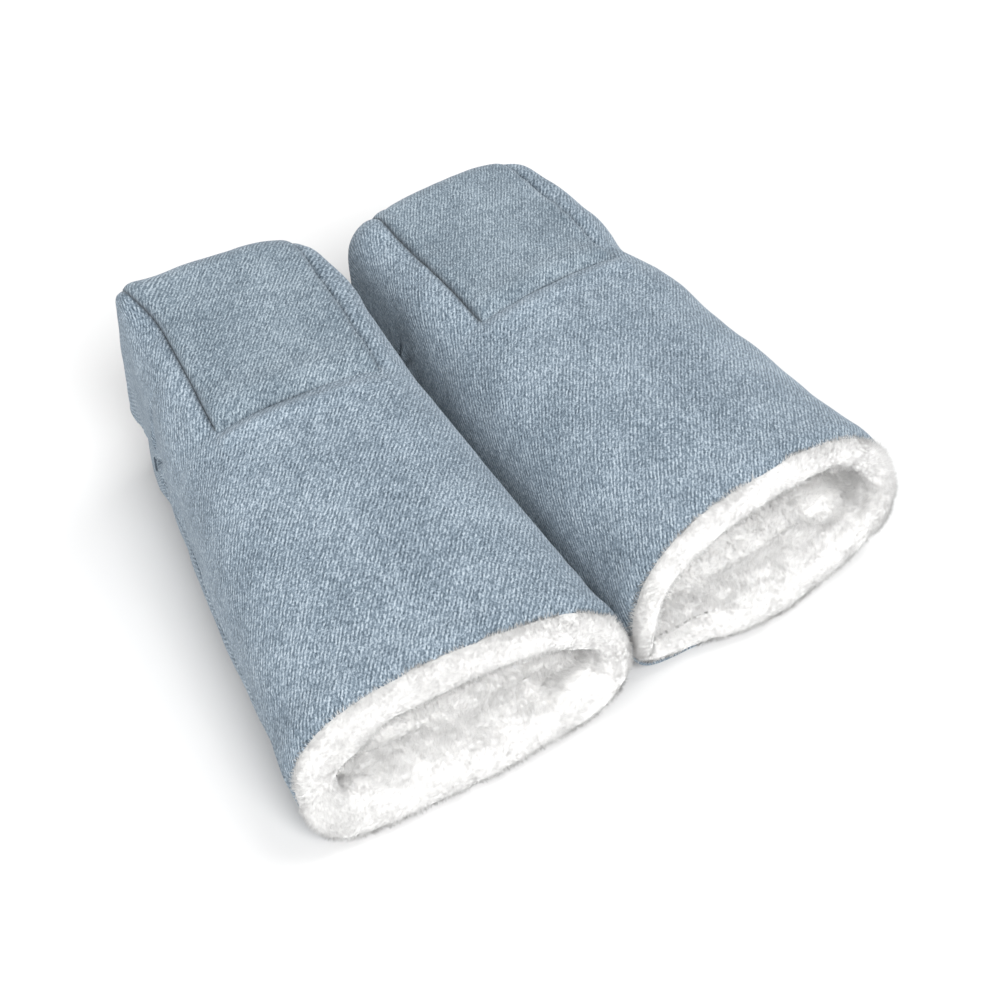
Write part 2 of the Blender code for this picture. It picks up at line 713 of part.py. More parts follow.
def main():
    for obj in list(bpy.data.objects):
        bpy.data.objects.remove(obj)
    materials = make_materials()
    pair = make_empty("pair", (0.0, 0.0, 0.0), 0.0, None)
    left = Muff("left", LEFT_WRIST_HEIGHT, LEFT_WRIST_SETBACK, LEFT_CREASE_WIDTH, LEFT_CREASE_HEIGHT,
                LEFT_HEAD_WIDTH, LEFT_HEAD_HEIGHT)
    right = Muff("right", RIGHT_WRIST_HEIGHT, RIGHT_WRIST_SETBACK, RIGHT_CREASE_WIDTH, RIGHT_CREASE_HEIGHT,
                 RIGHT_HEAD_WIDTH, RIGHT_HEAD_HEIGHT)
    for muff in (left, right):
        build_muff(muff, pair_spacing(left, right), materials, pair)
    centre_pair(pair)
    bpy.context.view_layer.update()


main()
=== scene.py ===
"""Looks of a pair of padded stroller hand muffs: twill cloth outside, deep plush inside."""

from math import acos, atan2, copysign, cos, pi, radians, sin, sqrt, tan

import bpy
import numpy as np
from mathutils import Matrix, Vector


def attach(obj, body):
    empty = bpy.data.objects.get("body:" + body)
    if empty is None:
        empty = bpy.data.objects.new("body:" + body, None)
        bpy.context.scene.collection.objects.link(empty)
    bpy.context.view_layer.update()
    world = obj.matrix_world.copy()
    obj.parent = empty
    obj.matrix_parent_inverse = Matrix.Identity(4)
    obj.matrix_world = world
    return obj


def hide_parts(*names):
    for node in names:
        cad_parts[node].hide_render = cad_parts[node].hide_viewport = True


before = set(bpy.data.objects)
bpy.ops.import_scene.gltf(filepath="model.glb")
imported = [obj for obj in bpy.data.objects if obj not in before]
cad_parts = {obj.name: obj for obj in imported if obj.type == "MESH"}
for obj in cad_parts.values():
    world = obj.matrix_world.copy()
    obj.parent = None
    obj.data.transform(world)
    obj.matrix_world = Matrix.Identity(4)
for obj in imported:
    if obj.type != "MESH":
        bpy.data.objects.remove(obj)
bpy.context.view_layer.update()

# ---- The solids' sizes, in metres, in each muff's own frame: wrist at y = 0, head towards +Y ----
SHELL = 0.0016
PLUSH_TOP = 0.0054
PLUSH = 0.007
WRIST_WIDTH = 0.183
BODY_LENGTH = 0.184
WRIST_SEAM_HEIGHT = 0.035
BODY_HUMP = 0.002
HEAD_LENGTH = 0.1092
CROWN_WIDTH = 0.0941
CROWN_NOSE_WIDTH = 0.087
NOSE_ROUND = 0.0136
NOSE_LEAN = 0.0053
CORNER_DEPTH = 0.02
MOUTH_HEIGHT = 0.05
TACK_REACH = 0.046
SLOT_GAP = 0.012
SLOT_ROUND = 0.01
JAW_SETBACK = 0.0015
JAW_ROUND = 0.022
JAW_TUCK = 0.006
CUFF_WALL = 0.0145
TAB_WIDTH = 0.06
TAB_HEIGHT = 0.046
TAB_CLOTH = 0.0014
TAB_FACING = 0.001
LAYER_GAP = 0.0004
TAB_ROOT_HEIGHT = 0.033
TAB_ANCHOR_HEIGHT = 0.009
TAB_CLEARANCE = 0.0005
SNAP_SPACING = 0.034
SNAP_FROM_HINGE = 0.033
SNAP_CLEARANCE = 0.0003
STUD_FLANGE = 0.0008
SOCKET_THICK = 0.0026
# How full the sections are, across and in height, above and below the side seam
WRIST_SHARES, CREASE_SHARES, NOSE_SHARES = np.array(((0.7, 0.66), (0.76, 0.755), (0.89, 0.84)))
TOP_FLAT_SHARE = 0.31
BOTTOM_SHARES = (0.88, 0.8)
FLAT_SHARE = 0.62
TOE_IN = radians(4.0)

TACK_Y = BODY_LENGTH + TACK_REACH
NOSE_Y = BODY_LENGTH + HEAD_LENGTH
HEM_Y = NOSE_Y - NOSE_LEAN
JAW_Y = HEM_Y - JAW_SETBACK
LIP_HEIGHT = MOUTH_HEIGHT - SLOT_GAP
TAB_FACE = TAB_CLOTH + LAYER_GAP + TAB_FACING

# ---- Sizes and counts of the looks ----
MM = 1000.0
TENTH = 0.0001
HASH_STEPS = np.array([374761393, 668265263, 2147483647])
CURVE_STEPS = 200
# Grid rows of the body and of the head or jaw, columns of a side and of half the middle: upper, then lower half
SHELL_GRIDS = {True: (140, 132, 46, 34), False: (110, 80, 34, 18)}
LINING_GRIDS = {True: (96, 60, 26, 24), False: (96, 44, 24, 24)}
SHELL_LOWEST = -0.0044  # the cloth sinks no deeper, so the lining's pile stays covered
HEM_ROLL = 0.0011
MOUTH_ROLL = 0.0026
LINING_EDGE = 0.0022
EDGE_STEPS = 6
CUFF_COUNT = 620  # points round the wrist roll
CUFF_ROWS = 45
ROLL_REACH = 0.0098
ROLL_INSIDE = 0.024
ROLL_STEPS = 13  # rows of the roll's inner flank
PILE_DEPTH = 0.11  # the lining carries fibres from the wrist to here
TAB_ROWS, ANCHOR_ROWS, TAB_COLUMNS = 46, 10, 60
TAB_SEAM_GAP = 0.00015
TAB_STITCH_INSET = 0.0032
STITCH_START = 3.0  # grid rows above the tab's hinge line where its stitches begin
STITCH = (0.0026, 0.0008, 0.00026)  # length, gap and radius
WRAP = (0.0024, 0.0, 0.00036)
WRAPS = 15
WRAP_REACH = 0.0042
THREAD_SIDES = 8
THREAD_RINGS = 7
LATHE_SIDES = 48
FLOOR_HALF = 6.0
# Where each sun shines from, its spread in degrees and its strength
SUNS = {"key": ((0.95, 0.1, 1.45), 34.0, 1.25), "left": ((-1.3, -0.35, 0.42), 40.0, 0.8),
        "side": ((-0.9, -0.9, 0.73), 34.0, 0.9), "front": ((-0.14, -1.3, 1.28), 34.0, 3.2)}
WORLD_STRENGTH = 0.47
# Degrees of azimuth, of tilt from straight down and of roll
CAMERA_TURNS = ((-34.7358, "Z"), (90 - 44.7692, "X"), (0.9046, "Z"))
CAMERA_TARGET = (0.0223, 0.0055, 0.0)
CAMERA_DISTANCE = 1.0128
CAMERA_LENS = 1.8089  # in sensor widths

# Plush thickness at the left, top and right of each wrist opening, as shares of the usual
MOUTH_SHARES = {"left": (1.5, 0.92, 1.3), "right": (0.62, 0.8, 1.25)}
# Turn in degrees and stretch of the weave on each panel
CUT = {"left": {"upper": (5.5, 1.0), "crown": (1.5, 1.16), "under": (5.5, 1.0)},
       "right": {"upper": (3.0, 1.0), "crown": (3.5, 1.16), "under": (3.0, 1.0)}}


# ---- Small maths ----
def lerp(start, end, share):
    return start + (end - start) * share


def smooth(share):
    share = np.clip(share, 0.0, 1.0)
    return share * share * (3 - 2 * share)


def near(distance, width):
    """1 on a line and fading away on both sides of it."""
    return np.exp(-(distance / width) ** 2)


def cusp(distance, width):
    """1 on a line with a sharp bottom, fading away."""
    return np.exp(-np.abs(distance) / width)


def vec(x, y=0.0, z=0.0):
    """Points with these coordinates, single ones or a grid of them."""
    return np.stack(np.broadcast_arrays(x, y, z), axis=-1)


def unit(vectors):
    return vectors / np.maximum(np.linalg.norm(vectors, axis=-1, keepdims=True), 1e-12)


def turned(x, y, angle):
    """Plane coordinates turned anticlockwise."""
    c, s = cos(angle), sin(angle)
    return np.stack([x * c - y * s, x * s + y * c], axis=-1)


def runs_along(line):
    """The distance walked at each point of a line."""
    return np.concatenate([[0.0], np.cumsum(np.linalg.norm(np.diff(line, axis=0), axis=1))])


def at_runs(places, runs, line):
    return np.stack([np.interp(places, runs, line[:, i]) for i in range(3)], axis=-1)


def noise(points, scale, seed):
    """Smooth value noise from -1 to 1 with features about `scale` across."""
    q = points / scale + 1000.0
    base = np.floor(q).astype(np.int64)
    f = q - base
    f = f * f * f * (f * (f * 6 - 15) + 10)
    total = 0.0
    for corner in np.ndindex(2, 2, 2):
        h = ((base + corner) @ HASH_STEPS + seed * 974634777) & 0xFFFFFFFF
        h = ((h ^ (h >> 13)) * 1274126177) & 0xFFFFFFFF
        value = ((h ^ (h >> 16)) & 0xFFFF) / 32767.5 - 1.0
        total = total + np.prod(np.where(corner, f, 1 - f), axis=-1) * value
    return total


def bezier(a, b, c, d):
    t = np.linspace(0, 1, CURVE_STEPS)
    return (1 - t) ** 3 * a + 3 * (1 - t) ** 2 * t * b + 3 * (1 - t) * t ** 2 * c + t ** 3 * d


# ---- The muff's form ----
class Path:
    """Two straight runs with a round corner between them in the YZ plane, walked by share of the length."""

    def __init__(self, start, corner, end, radius):
        start, corner, end = (np.array(point) for point in (start, corner, end))
        first, last = np.linalg.norm(corner - start), np.linalg.norm(end - corner)
        self.way, self.last_way = (corner - start) / first, (end - corner) / last
        self.side = copysign(1.0, np.linalg.det([self.way, self.last_way]))
        turn = acos(float(np.dot(self.way, self.last_way)))
        cut = radius * tan(turn / 2)
        self.start, self.reach = start, first - cut
        self.last_start = corner + self.last_way * cut
        self.radius, self.bend = radius, radius * turn
        self.length = self.reach + self.bend + (last - cut)

    def at(self, share):
        """The point and the outward normal there."""
        run = share * self.length
        outward = self.outward(self.way)
        if run <= self.reach:
            return self.start + self.way * run, outward
        run -= self.reach
        if run > self.bend:
            return self.last_start + self.last_way * (run - self.bend), self.outward(self.last_way)
        spun = turned(*outward, self.side * run / self.radius)
        return self.start + self.way * self.reach - outward * self.radius + spun * self.radius, spun

    def outward(self, way):
        return np.array([way[1], -way[0]]) * self.side


class Rib:
    """Half a cross-section, from the side point to the middle, walked by its length."""

    def __init__(self, side, middle, half_width, shares, flat_share=0.0):
        wide = bezier(half_width, half_width, shares[0] * half_width, flat_share * half_width)
        high = bezier(0.0, shares[1], 1.0, 1.0)
        if flat_share > 0:
            wide, high = np.append(wide, 0.0), np.append(high, 1.0)
        self.points = np.column_stack([wide, side + high[:, None] * (middle - side)])
        self.runs = runs_along(self.points)
        self.length = self.runs[-1]

    def at(self, runs):
        return at_runs(runs, self.runs, self.points)

    def run_at_width(self, width):
        return float(np.interp(-width, -self.points[:, 0], self.runs))


def station_y(station):
    """0 to 1 is the body, 1 to 2 the stretch up to the tack."""
    return np.minimum(station, 1) * BODY_LENGTH + np.maximum(station - 1, 0) * TACK_REACH


class Muff:
    """One muff's outline in its own frame."""

    def __init__(self, side, place, wrist_height, wrist_setback, crease_width, crease_height, head_width,
                 head_height):
        self.side, self.left = side, side == "left"
        self.wrist_height, self.wrist_setback = wrist_height, wrist_setback
        self.crease_width, self.crease_height = crease_width, crease_height
        self.head_width = head_width
        self.top = Path((BODY_LENGTH, crease_height), (NOSE_Y, head_height), (HEM_Y, MOUTH_HEIGHT), NOSE_ROUND)
        self.floor = Path((TACK_Y, 0.0), (JAW_Y, 0.0), (JAW_Y, LIP_HEIGHT), JAW_ROUND)
        self.tack_share = TACK_REACH / (self.top.length * self.top.way[0])
        self.corner = BODY_LENGTH + self.top.reach + self.top.bend / 2
        turn = Matrix.Rotation(-TOE_IN if self.left else TOE_IN, 4, "Z")
        self.matrix = Matrix.Translation((*place, 0.0)) @ turn

    def local_y(self, points):
        row = np.array(self.matrix.inverted())[1]
        return points @ row[:3] + row[3]

    def half_width(self, y):
        if y <= BODY_LENGTH:
            return lerp(WRIST_WIDTH, self.crease_width, y / BODY_LENGTH) / 2
        share = (y - BODY_LENGTH) / (HEM_Y - CORNER_DEPTH - BODY_LENGTH)
        return lerp(self.crease_width, self.head_width, smooth(share)) / 2

    def lean(self, z, share):
        return self.wrist_setback * z / self.wrist_height * max(1 - share, 0.0)

    def seam_point(self, station):
        y = station_y(station)
        z = lerp(WRIST_SEAM_HEIGHT, MOUTH_HEIGHT, y / TACK_Y)
        return np.array([y + self.lean(z, station), z])

    def body_rib(self, share, depth):
        hump = 4 * BODY_HUMP * share * (1 - share)
        z = lerp(self.wrist_height, self.crease_height, share) + hump - depth
        y = share * BODY_LENGTH
        shares = lerp(WRIST_SHARES, CREASE_SHARES, share)
        middle = np.array([y + self.lean(z, share), z])
        return Rib(self.seam_point(share), middle, self.half_width(y) - depth, shares)

    def head_rib(self, share, depth):
        middle, outward = self.top.at(share)
        if share <= self.tack_share:
            side = self.seam_point(1 + share / self.tack_share)
        else:
            rest = (share - self.tack_share) / (1 - self.tack_share)
            side = np.array([lerp(TACK_Y, HEM_Y - CORNER_DEPTH, rest), MOUTH_HEIGHT])
        square = smooth(share / self.tack_share)
        shares = lerp(CREASE_SHARES, NOSE_SHARES, square)
        half = self.half_width(side[0]) - depth
        return Rib(side, middle - outward * depth, half, shares, square * TOP_FLAT_SHARE)

    def floor_rib(self, station, depth):
        side = self.seam_point(station)
        y = station * BODY_LENGTH if station <= 1 else side[0]
        middle = np.array([y + self.lean(depth, station), depth])
        return Rib(side, middle, self.half_width(y) - depth, BOTTOM_SHARES, FLAT_SHARE)

    def jaw_rib(self, share, depth):
        middle, outward = self.floor.at(share)
        side_y = lerp(TACK_Y, JAW_Y - CORNER_DEPTH, share)
        side = np.array([side_y, MOUTH_HEIGHT - SLOT_GAP * smooth((side_y - TACK_Y) / SLOT_ROUND)])
        half = self.half_width(side_y) - JAW_TUCK * smooth(share) - depth
        return Rib(side, middle - outward * depth, half, BOTTOM_SHARES, FLAT_SHARE)

    def crown_half(self, station_width, depth, share):
        half = lerp(CROWN_WIDTH, CROWN_NOSE_WIDTH, share) / 2 * station_width / self.crease_width
        return half * (station_width / 2 - depth) / (station_width / 2)

    def front_line(self, z):
        """Foremost y of the head at height z."""
        if z <= MOUTH_HEIGHT:
            return lerp(JAW_Y, HEM_Y, max(z - LIP_HEIGHT, 0.0) / SLOT_GAP)
        way = self.top.last_way
        return HEM_Y - way[0] / -way[1] * (z - MOUTH_HEIGHT)

    def stud_seat(self):
        climb = TAB_ROOT_HEIGHT + SNAP_FROM_HINGE - MOUTH_HEIGHT
        way = self.top.last_way
        rib = self.head_rib(1 - climb / -way[1] / self.top.length, 0.0)
        return rib.at(rib.run_at_width(SNAP_SPACING / 2)), self.top.outward(way)

    def tab_lift(self):
        seat, _ = self.stud_seat()
        return 3 * SNAP_CLEARANCE + STUD_FLANGE + SOCKET_THICK - (self.front_line(seat[2]) - seat[1])


MUFFS = (
    Muff("left", (-0.092278, -0.144962), 0.069, 0.023, 0.149, 0.1061, 0.1242, 0.127),
    Muff("right", (0.091876, -0.141562), 0.092, 0.0155, 0.155, 0.1065, 0.1385, 0.1142),
)


# ---- Grids of points over a muff ----
def tight_ends(count, pull):
    """Shares from 0 to 1, closer together at both ends."""
    t = np.linspace(0, 1, count + 1)
    return (1 - pull) * t + pull * (1 - np.cos(pi * t)) / 2


class Grid:
    """Points of a surface swept over ribs with, at each: outward normal, length along the muff, run from the
    side seam or mouth edge, run past the crown's seam, signed distance across from the middle."""

    def __init__(self, ribs, places, marks, edge, middle, outward):
        table = []
        for rib, place, mark in zip(ribs, places, marks):
            runs = np.concatenate([edge * mark, mark + 2 * (rib.length - mark) * middle[1:-1],
                                   2 * rib.length - mark + edge * mark])
            side = np.where(runs <= rib.length, -1.0, 1.0)
            run = np.where(runs <= rib.length, runs, 2 * rib.length - runs)
            x, y, z = rib.at(run).T
            row = np.broadcast_arrays(side * x, y, z, place, run, run - mark, side * (rib.length - run))
            table.append(np.stack(row, axis=-1))
        table = np.array(table)
        self.points = table[..., :3]
        self.along, self.run, self.gap, self.across = np.moveaxis(table[..., 3:], -1, 0)
        rows, columns = np.gradient(self.points, axis=0), np.gradient(self.points, axis=1)
        self.normal = unit(np.cross(columns, rows) * outward)
        self.last = (len(table) - 1, len(table[0]) - 1)

    def mouth_edge(self):
        """The grid's border from the tacks on: both sides, and the nose's hem or the jaw's lip."""
        rows, columns = self.last
        sides = [(j, i) for j in range(self.tack_row + 2, rows + 1) for i in (0, columns)]
        return sides + [(rows, i) for i in range(columns + 1)]


def half_grid(muff, top, depth, counts):
    """The upper half, from wrist to nose, or the lower half, from wrist to jaw. Its panels say which quads
    belong to which piece of cloth."""
    body_rows, head_rows, side_columns, middle_columns = counts
    if top:
        edge = muff.tack_share
        tack = max(int(head_rows * edge), 4)
        body = tight_ends(body_rows, 0.35)
        head = np.append(edge * tight_ends(tack, 0.5)[1:], lerp(edge, 1.0, tight_ends(head_rows - tack, 0.35)[1:]))
        ribs = [muff.body_rib(s, depth) for s in body] + [muff.head_rib(s, depth) for s in head]
        widths = [2 * muff.half_width(s * BODY_LENGTH) for s in body] + [muff.crease_width] * len(head)
        places = np.append(body * BODY_LENGTH, BODY_LENGTH + head * muff.top.length)
        marks = [rib.run_at_width(muff.crown_half(width, depth, share))
                 for rib, width, share in zip(ribs, widths, np.append(body * 0, head))]
        side, middle = tight_ends(side_columns, 0.6), tight_ends(2 * middle_columns, 0.7)
    else:
        tack = max(int(body_rows * TACK_REACH / BODY_LENGTH), 4)
        body = np.append(tight_ends(body_rows, 0.35), 1 + tight_ends(tack, 0.3)[1:])
        jaw = tight_ends(head_rows, 0.35)[1:]
        ribs = [muff.floor_rib(s, depth) for s in body] + [muff.jaw_rib(s, depth) for s in jaw]
        places = np.append(station_y(body), TACK_Y + jaw * muff.floor.length)
        marks = [rib.runs[-2] for rib in ribs]
        side, middle = tight_ends(side_columns, 0.5), np.linspace(0, 1, 2 * middle_columns + 1)
    grid = Grid(ribs, places, marks, side, middle, 1.0 if top else -1.0)
    grid.tack_row = body_rows + tack
    crown = np.zeros(grid.last, bool)
    crown[body_rows:, side_columns:side_columns + 2 * middle_columns] = True
    grid.panels = {"upper": ~crown, "crown": crown} if top else {"under": np.ones(grid.last, bool)}
    return grid


# ---- Meshes ----
def placed(name, data):
    obj = bpy.data.objects.new(name, data)
    bpy.context.scene.collection.objects.link(obj)
    return obj


def new_object(name, verts, faces, material, matrix=None, uvs=None, shade=None):
    """A mesh object; uvs are the flat cloth coordinates and shade is how far each point takes its material's painted
    change of light or shade.
    """
    mesh = bpy.data.meshes.new(name)
    mesh.from_pydata(np.asarray(verts, float).tolist(), [], [list(map(int, f)) for f in faces])
    index = np.empty(len(mesh.loops), np.int32)
    mesh.loops.foreach_get("vertex_index", index)
    tones = None if shade is None else vec(shade)[:, :2]
    for label, values in (("cloth", uvs), ("shade", tones)):
        if values is not None:
            layer = mesh.uv_layers.new(name=label)
            layer.data.foreach_set("uv", np.asarray(values, np.float32)[index].ravel())
    if matrix is not None:
        mesh.transform(matrix)
    mesh.materials.append(material)
    mesh.shade_smooth()
    mesh.validate()
    return placed(name, mesh)


def settle(pieces, body, slot, *replaced, fill=None):
    """Hang the pieces on the body they ride on and hide the parts that they replace. slot, what they are made of,
    and fill, how full the first one is, are not used.
    """
    if replaced:
        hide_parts(*replaced)
    for piece in pieces:
        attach(piece, body)


def rolled(grid, outer, edge, way, radius):
    """Points of the cloth turned in at an edge: round past it, to `2 * radius` deep."""
    angles = [lerp(0.25, pi, k / EDGE_STEPS) for k in range(1, EDGE_STEPS + 1)]
    return {place: [outer[place] + way * radius * sin(a) - grid.normal[place] * radius * (1 - cos(a))
                    for a in angles] for place in edge}


def bulged(start, end, push):
    """Points between the two faces of a soft edge, pushed out in a round."""
    shares = [k / EDGE_STEPS for k in range(1, EDGE_STEPS)]
    return [lerp(start, end, share) + push * sin(pi * share) for share in shares]


def closed_panel(name, outer, inner, cells, chains, material, uv, muff, flip=False, shade=None):
    """A closed thick sheet between two point grids. cells says which quads have cloth, chains gives the
    points between outer and inner at rolled edges."""
    rows, columns = cells.shape
    used = np.zeros((rows + 1, columns + 1), bool)
    for j, i in np.ndindex(2, 2):
        used[j:rows + j, i:columns + i] |= cells
    count = int(used.sum())
    index = np.full(used.shape, -1)
    index[used] = np.arange(count)
    shade = np.zeros(used.shape) if shade is None else shade
    flat = np.concatenate([uv, shade[..., None]], axis=-1)
    face = np.stack([index[:-1, :-1], index[:-1, 1:], index[1:, 1:], index[1:, :-1]], axis=-1)[cells]
    faces = face.tolist() + (face[:, ::-1] + count).tolist()
    edges = {}
    for quad in face.tolist():
        for edge in zip(quad, quad[1:] + quad[:1]):
            if not edges.pop(edge[::-1], False):
                edges[edge] = True
    where = list(zip(*(axis.tolist() for axis in np.nonzero(used))))
    extra, chain_of = [], {}

    def chain(v):
        if v not in chain_of:
            points = chains.get(where[v], [])
            start = 2 * count + len(extra)
            extra.extend((*point, *flat[where[v]]) for point in points)
            chain_of[v] = [v, *range(start, start + len(points)), v + count]
        return chain_of[v]

    for start, end in edges:
        first, last = chain(start), chain(end)
        if len(first) == len(last):
            faces += [[last[k], first[k], first[k + 1], last[k + 1]] for k in range(len(first) - 1)]
        else:
            faces.append(last[:1] + first + last[:0:-1])
    if flip:
        faces = [face[::-1] for face in faces]
    table = [np.concatenate([side, flat], axis=-1)[used] for side in (outer, inner)]
    table = np.concatenate(table + [np.reshape(extra, (-1, 6))])
    return new_object(name, table[:, :3], faces, material, muff.matrix, table[:, 3:5], table[:, 5])


# ---- Materials ----
class Look:
    """A procedural material; its methods add nodes and hand back their output sockets."""

    def __init__(self, name, inputs):
        self.material = bpy.data.materials.new(name)
        self.material.use_nodes = True
        self.tree = self.material.node_tree
        self.shader = self.tree.nodes["Principled BSDF"]
        self.feed(self.shader, inputs)

    def feed(self, made, inputs):
        for key, value in inputs.items():
            if isinstance(value, bpy.types.NodeSocket):
                self.tree.links.new(value, made.inputs[key])
            else:
                made.inputs[key].default_value = value

    def add(self, kind, inputs, output=0, **settings):
        made = self.tree.nodes.new("ShaderNode" + kind)
        for key, value in settings.items():
            setattr(made, key, value)
        self.feed(made, inputs)
        return made.outputs[output]

    def noise(self, vector, scale, detail, rough=0.5, dimensions="2D"):
        inputs = {"Vector": vector, "Scale": scale, "Detail": detail, "Roughness": rough}
        return self.add("TexNoise", inputs, "Fac", noise_dimensions=dimensions)

    def total(self, parts, start=0.0):
        """The sum of sockets times weights."""
        for socket, weight in parts:
            start = self.add("Math", {0: socket, 1: weight, 2: start}, operation="MULTIPLY_ADD")
        return start

    def ramp(self, factor, *stops):
        made = self.tree.nodes.new("ShaderNodeValToRGB")
        elements = made.color_ramp.elements
        while len(elements) < len(stops):
            elements.new(0.5)
        for element, (place, colour) in zip(elements, stops):
            element.position, element.color = place, (*colour, 1.0)
        self.feed(made, {0: factor})
        return made.outputs[0]

    def shaded(self, colour, gain):
        """The colour times 1 + gain where the mesh's shade layer is 1: a negative gain lays on painted shade, a
        positive one lifts a painted shade off again.
        """
        layer = self.add("SeparateXYZ", {0: self.add("UVMap", {}, uv_map="shade")}, "X")
        scale = self.total([(layer, gain)], 1.0)
        return self.add("VectorMath", {0: colour, "Scale": scale}, operation="SCALE")

    def bump(self, height, distance):
        return self.add("Bump", {"Strength": 0.5, "Distance": distance, "Height": height})

    def done(self, inputs):
        self.feed(self.shader, inputs)
        return self.material


def twill_material(name, *tones, pitch=0.00195):
    """Melange twill on the cloth's flat coordinates; dark, middle and light tone in 8-bit levels."""
    look = Look(name, {"Roughness": 0.92, "Sheen Weight": 0.25, "Sheen Roughness": 0.6,
                       "Sheen Tint": (0.75, 0.85, 0.95, 1.0), "Specular IOR Level": 0.15})
    flat = look.add("UVMap", {}, uv_map="cloth")
    diagonal = look.add("Mapping", {"Vector": flat, "Rotation": (0.0, 0.0, radians(-48.0))})
    # the diagonals, a little wavy
    lateral = look.add("SeparateXYZ", {0: diagonal}, "Y")
    wobble = look.noise(diagonal, 90.0, 2.0)
    phase = look.total([(lateral, 2 * pi / pitch), (wobble, 1.8 * pi)], -0.9 * pi)
    wave = look.total([(look.add("Math", {0: phase}, operation="SINE"), 0.5)], 0.5)
    # yarn floats: cells stretched along the diagonal, each with its own shade
    stretched = look.add("Mapping", {"Vector": diagonal, "Scale": (1 / 0.0017, 1 / 0.00072, 1.0)})
    cells = look.add("TexVoronoi", {"Vector": stretched, "Scale": 1.0, "Randomness": 0.85}, "Color",
                     voronoi_dimensions="2D")
    yarn = look.add("SeparateColor", {0: cells}).node.outputs
    fine = look.noise(flat, 900.0, 2.0, 0.75)
    blotch = look.noise(flat, 26.0, 4.0, 0.62)
    tone = look.total([(wave, 0.27), (yarn[0], 0.38), (fine, 1.1), (blotch, 0.34)], -0.55)
    dark, middle, light = ([((c / 255 + 0.055) / 1.055) ** 2.4 for c in tone] for tone in tones)
    colour = look.ramp(tone, (0.05, dark), (0.5, middle), (0.95, light))
    height = look.total([(wave, 0.6), (yarn[1], 0.4)])
    # the mesh's shade layer darkens the colour: painted shade in the crown's seams and crease
    return look.done({"Base Color": look.shaded(colour, -0.6), "Normal": look.bump(height, 0.0004)})


def plush_material(name, colour, low, gain):
    look = Look(name, {"Roughness": 1.0, "Specular IOR Level": 0.05, "Sheen Weight": 0.5, "Sheen Roughness": 0.7,
                       "Subsurface Weight": 0.25, "Subsurface Radius": (1.0, 0.95, 0.9), "Subsurface Scale": 0.003})
    place = look.add("TexCoord", {}, "Object")
    tufts = look.noise(place, 260.0, 4.0, 0.65, "3D")
    soft = look.noise(place, 45.0, 3.0, 0.55, "3D")
    tone = look.ramp(look.total([(tufts, 0.6), (soft, 0.4)]), (0.32, low), (0.6, colour))
    return look.done({"Base Color": look.shaded(tone, gain), "Normal": look.bump(tufts, 0.0006)})


def fibre_material(name, colour, spread=0.0, gain=0.0):
    """Thread or pile fibres; spread says how much darker the darkest single fibre is."""
    look = Look(name, {"Roughness": 1.0, "Specular IOR Level": 0.05, "Base Color": (*colour, 1.0)})
    if spread == 0:
        return look.material
    single = look.add("NewGeometry", {}, "Random Per Island")
    tone = look.ramp(single, (0.0, [c * (1 - spread) for c in colour]), (0.55, colour))
    return look.done({"Base Color": look.shaded(tone, gain)})


def metal_material(name, colour):
    look = Look(name, {"Metallic": 1.0})
    marks = look.noise(look.add("TexCoord", {}, "Object"), 900.0, 3.0, dimensions="3D")
    tone = look.ramp(marks, (0.3, [c * 0.75 for c in colour]), (0.7, colour))
    return look.done({"Base Color": tone, "Roughness": look.ramp(marks, (0.3, [0.24] * 3), (0.7, [0.42] * 3))})


CLOTH = twill_material("melange_twill", (48, 60, 70), (105, 118, 129), (170, 181, 190))
# the crown's cloth: a darker copy of the same twill, painted shade on the upward-facing crown
CLOTH_CROWN_SHADED = twill_material("melange_twill_crown_painted_shade", (45, 56, 66), (99, 112, 122), (161, 172, 180))
CLOTH_TAB = twill_material("melange_twill_tab", (38, 49, 59), (97, 110, 121), (162, 173, 182))
# the lining's plush: its negative gain is painted shade deeper inside the opening
PLUSH_WHITE = plush_material("plush_pile", (0.93, 0.925, 0.91), (0.89, 0.885, 0.87), -0.22)
# the wrist roll's plush, painted darker than the lining as painted shade where it faces the lamps; the positive gain
# lifts its inner flank back to the lining's tone
ROLL_WHITE_SHADED = plush_material("roll_pile_painted_shade", (0.62, 0.616, 0.606), (0.59, 0.586, 0.576), 0.42)
# the lining's fibres, with the same painted shade deeper inside
FIBRE_WHITE = fibre_material("plush_fibres", (0.94, 0.936, 0.925), 0.13, -0.22)
# the roll's fibres, painted darker like the roll
FIBRE_ROLL_SHADED = fibre_material("roll_fibres", (0.66, 0.657, 0.65), 0.15, 0.4)
NICKEL = metal_material("dark_nickel", (0.42, 0.43, 0.44))
THREAD = fibre_material("dark_thread", (0.07, 0.09, 0.11))
THREAD_TAB = fibre_material("tab_thread", (0.3, 0.36, 0.42))


